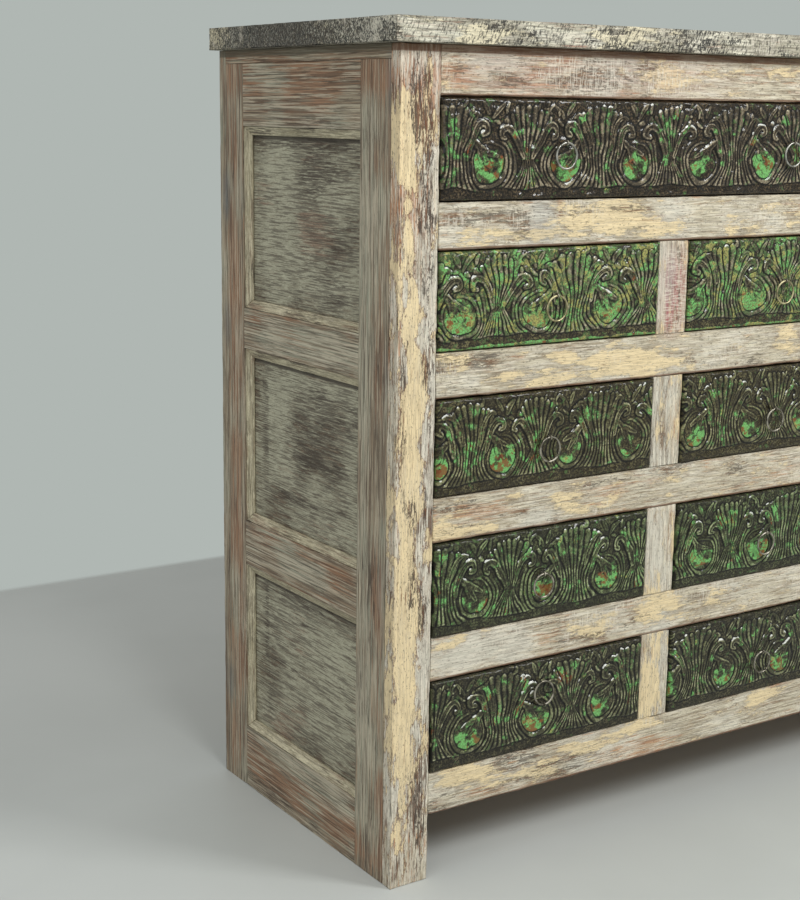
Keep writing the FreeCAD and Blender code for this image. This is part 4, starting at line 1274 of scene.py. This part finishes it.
def makeRing(name):
    # the wire is spun round the ring's own axis, which the CAD ring gives, and left a little uneven
    s = ringSettings
    mesh = frame["nodes"][name].data
    points = np.array([v.co for v in mesh.vertices])
    centre = points.mean(0)
    spread = np.linalg.eigh(np.cov((points - centre).T))[1]
    axis = Vector(spread[:, 0])
    across = Vector(spread[:, 2])
    centre = Vector(centre)
    reach = max((Vector(p) - centre).length for p in points) - s["wire"]
    bm = bmesh.new()
    turn = Matrix((across, axis, across.cross(axis))).transposed().to_4x4()
    bmesh.ops.create_circle(bm, segments=s["round"], radius=s["wire"],
                            matrix=Matrix.Translation(centre + across * reach) @ turn)
    bmesh.ops.spin(bm, geom=bm.verts[:] + bm.edges[:], cent=centre, axis=axis, angle=2 * math.pi,
                   steps=s["segments"], use_merge=True)
    bmesh.ops.remove_doubles(bm, verts=bm.verts, dist=1e-6)
    for vert in bm.verts:
        arm = vert.co - centre
        flat = (arm - axis * arm.dot(axis)).normalized() * reach
        inward = centre + flat - vert.co
        vert.co += inward.normalized() * s["dents"] * (1 + noise.noise(vert.co * s["dentNoise"]))
    bmesh.ops.recalc_face_normals(bm, faces=bm.faces)
    piece = newPiece(name + "_wire", bm, smooth=True)
    look = {"top": "greyIron", "2": "paleIron"}.get(name.split("_")[1], "iron")
    dressed(piece, "pull" + name[4:], name, materials[look])


def extruded(bm, top):
    grown = bmesh.ops.extrude_face_region(bm, geom=top)["geom"]
    bmesh.ops.delete(bm, geom=top, context="FACES_ONLY")
    return [[g for g in grown if isinstance(g, kind)] for kind in (bmesh.types.BMVert, bmesh.types.BMFace)]


def makeEye(part, eye):
    s = pinSettings
    above = eye + Vector((0, 0, s["eye"]))
    bmesh.ops.create_circle(part, segments=s["eyeRound"], radius=s["wire"], matrix=Matrix.Translation(above))
    for axis in "YZ":
        turn = Matrix.Rotation(math.radians(90), 3, axis)
        bmesh.ops.rotate(part, verts=part.verts, cent=above, matrix=turn)
    bmesh.ops.spin(part, geom=part.verts[:] + part.edges[:], cent=eye, axis=(1, 0, 0), angle=2 * math.pi,
                   steps=s["eyeSegments"], use_merge=True)
    bmesh.ops.remove_doubles(part, verts=part.verts, dist=1e-6)


def makeLeg(part, eye, back, side):
    s = pinSettings
    leg = bmesh.new()
    start = (eye.x, eye.y + s["eye"], eye.z + side * s["wire"])
    bmesh.ops.create_circle(leg, cap_ends=True, segments=s["legRound"], radius=s["wire"],
                            matrix=Matrix.Translation(start) @ Matrix.Rotation(math.radians(90), 4, "X"))
    top = leg.faces[:]
    for y, rise in ((back - s["flat"] - s["wire"] * 0.5, 0.0), (back - s["flat"] * 0.6, s["spread"])):
        verts, top = extruded(leg, top)
        move = y - sum(v.co.y for v in verts) / len(verts)
        bmesh.ops.translate(leg, verts=verts, vec=(0, move, side * rise))
    middle = sum((v.co for v in verts), Vector()) / len(verts)
    turn = Matrix.Rotation(math.radians(-s["bend"] * side), 3, "X")
    bmesh.ops.rotate(leg, verts=verts, cent=middle, matrix=turn)
    verts, top = extruded(leg, top)
    bmesh.ops.translate(leg, verts=verts, vec=(0, s["sink"], side * s["end"]))
    bmesh.ops.recalc_face_normals(leg, faces=leg.faces)
    addTo(part, leg)


def makePins(drawer):
    # eye of round wire, two legs through the front board, their ends bent flat behind it
    s = pinSettings
    bm = bmesh.new()
    for low, high in solidBoxes(drawer + "_facing"):
        if high.x - low.x > 0.1:
            continue
        x = (low.x + high.x) / 2
        eye = Vector((x, low.y + s["eye"] + s["wire"], ringHeight(drawer, x)))
        part = bmesh.new()
        makeEye(part, eye)
        for side in (-1, 1):
            makeLeg(part, eye, high.y, side)
        bmesh.ops.recalc_face_normals(part, faces=part.faces)
        addTo(bm, part)
    piece = newPiece(drawer + "_pin", bm, smooth=True)
    dressed(piece, drawer, drawer + "_facing", materials["iron"])


def ringHeight(drawer, x):
    # height of the pin's eye, from the solid's front end
    points = [p for corners in nodeSolids(drawer + "_facing") for p in corners if abs(p[0] - x) < 0.004]
    front = min(p[1] for p in points)
    near = [p[2] for p in points if p[1] < front + 2 * mm]
    return (min(near) + max(near)) / 2


# The whole piece

makeCamera()
makeRoom()

materials = {
    "front": paintedWood("frontPaint", frontPaint),
    "stile": paintedWood("stilePaint", stilePaint),
    "top": paintedWood("topPaint", topPaint),
    "side": brushedWood("sideWood", sideWood),
    "panel": crackledWood("panelPaint", panelWood),
    "moulding": crackledWood("mouldingPaint", mouldingWood),
    "inner": plainWood("innerWood", innerWood),
    "iron": ironMaterial("ringIron", (108, 102, 90), (176, 170, 156), 0.27),
    "greyIron": ironMaterial("greyRingIron", (140, 138, 130), (176, 174, 166), 0.3),
    "paleIron": ironMaterial("paleRingIron", (150, 142, 108), (200, 190, 150), 0.34),
    "nail": ironMaterial("nailIron", (58, 52, 46), (96, 84, 72), 0.5),
}
for row, look in rowFinish.items():
    materials[f"facing{row}"] = metalMaterial(f"facingPaint{row}", look)
print("materials made")

topStains = [
    ("dark", -1000, -16, 225, 40, .6), ("dark", -950, -16, 110, 40, .6), ("slate", -950, -16, 110, 40, .75),
    ("pale", -1170, -16, 60, 30, .8), ("cream", -790, -16, 40, 30, .8), ("cream", 120, -12, 60, 9, .6),
    ("cream", 330, -20, 90, 8, .6), ("pale", 60, -8, 60, 12, .6), ("pale", 240, -14, 70, 10, .8),
]
for node, material, settings, slot in (
        ("top_boards", "top", dict(seenBoard, stains=topStains), "top_wood"),
        ("front_stiles", "stile", frontBoard, "front_wood"),
        ("front_rails", "front", railBoard, "front_wood"),
        ("front_dividers", "front", frontBoard, "front_wood"),
        ("left_side_frame", "side", sideBoard, "side_wood"),
        ("right_side_frame", "side", sideBoard, "side_wood"),
        ("left_side_panels", "panel", panelBoard, "panel_wood"),
        ("right_side_panels", "panel", panelBoard, "panel_wood"),
        ("back_boards", "inner", dict(seenBoard, pitch=20 * mm), "plain_wood"),
        *((node, "inner", hiddenBoard, "plain_wood")
          for node in ("drawer_runners", "drawer_guides", "drawer_catches", "bottom_board", "top_cleats",
                       "back_rails"))):
    makeBoards(node, "carcass", materials[material], settings)
for side in ("left", "right"):
    makeMoulding(side + "_panel_mouldings", materials["moulding"])
nails = frame["nodes"]["back_nails"].data.materials
nails.clear()
nails.append(materials["nail"])
print("case boards made")

for name in sorted(frame["bodies"]):
    if not name.startswith("drawer"):
        continue
    row, column = (1, 1) if name == "drawer_top" else map(int, name.split("_")[1:])
    makeBoards(name + "_box", name, materials["inner"], hiddenBoard)
    makeFacing(name, row, column, materials[f"facing{row}"])
    makePins(name)
for name in sorted(frame["nodes"]):
    if name.startswith("ring"):
        makeRing(name)
print("drawers and pulls made")
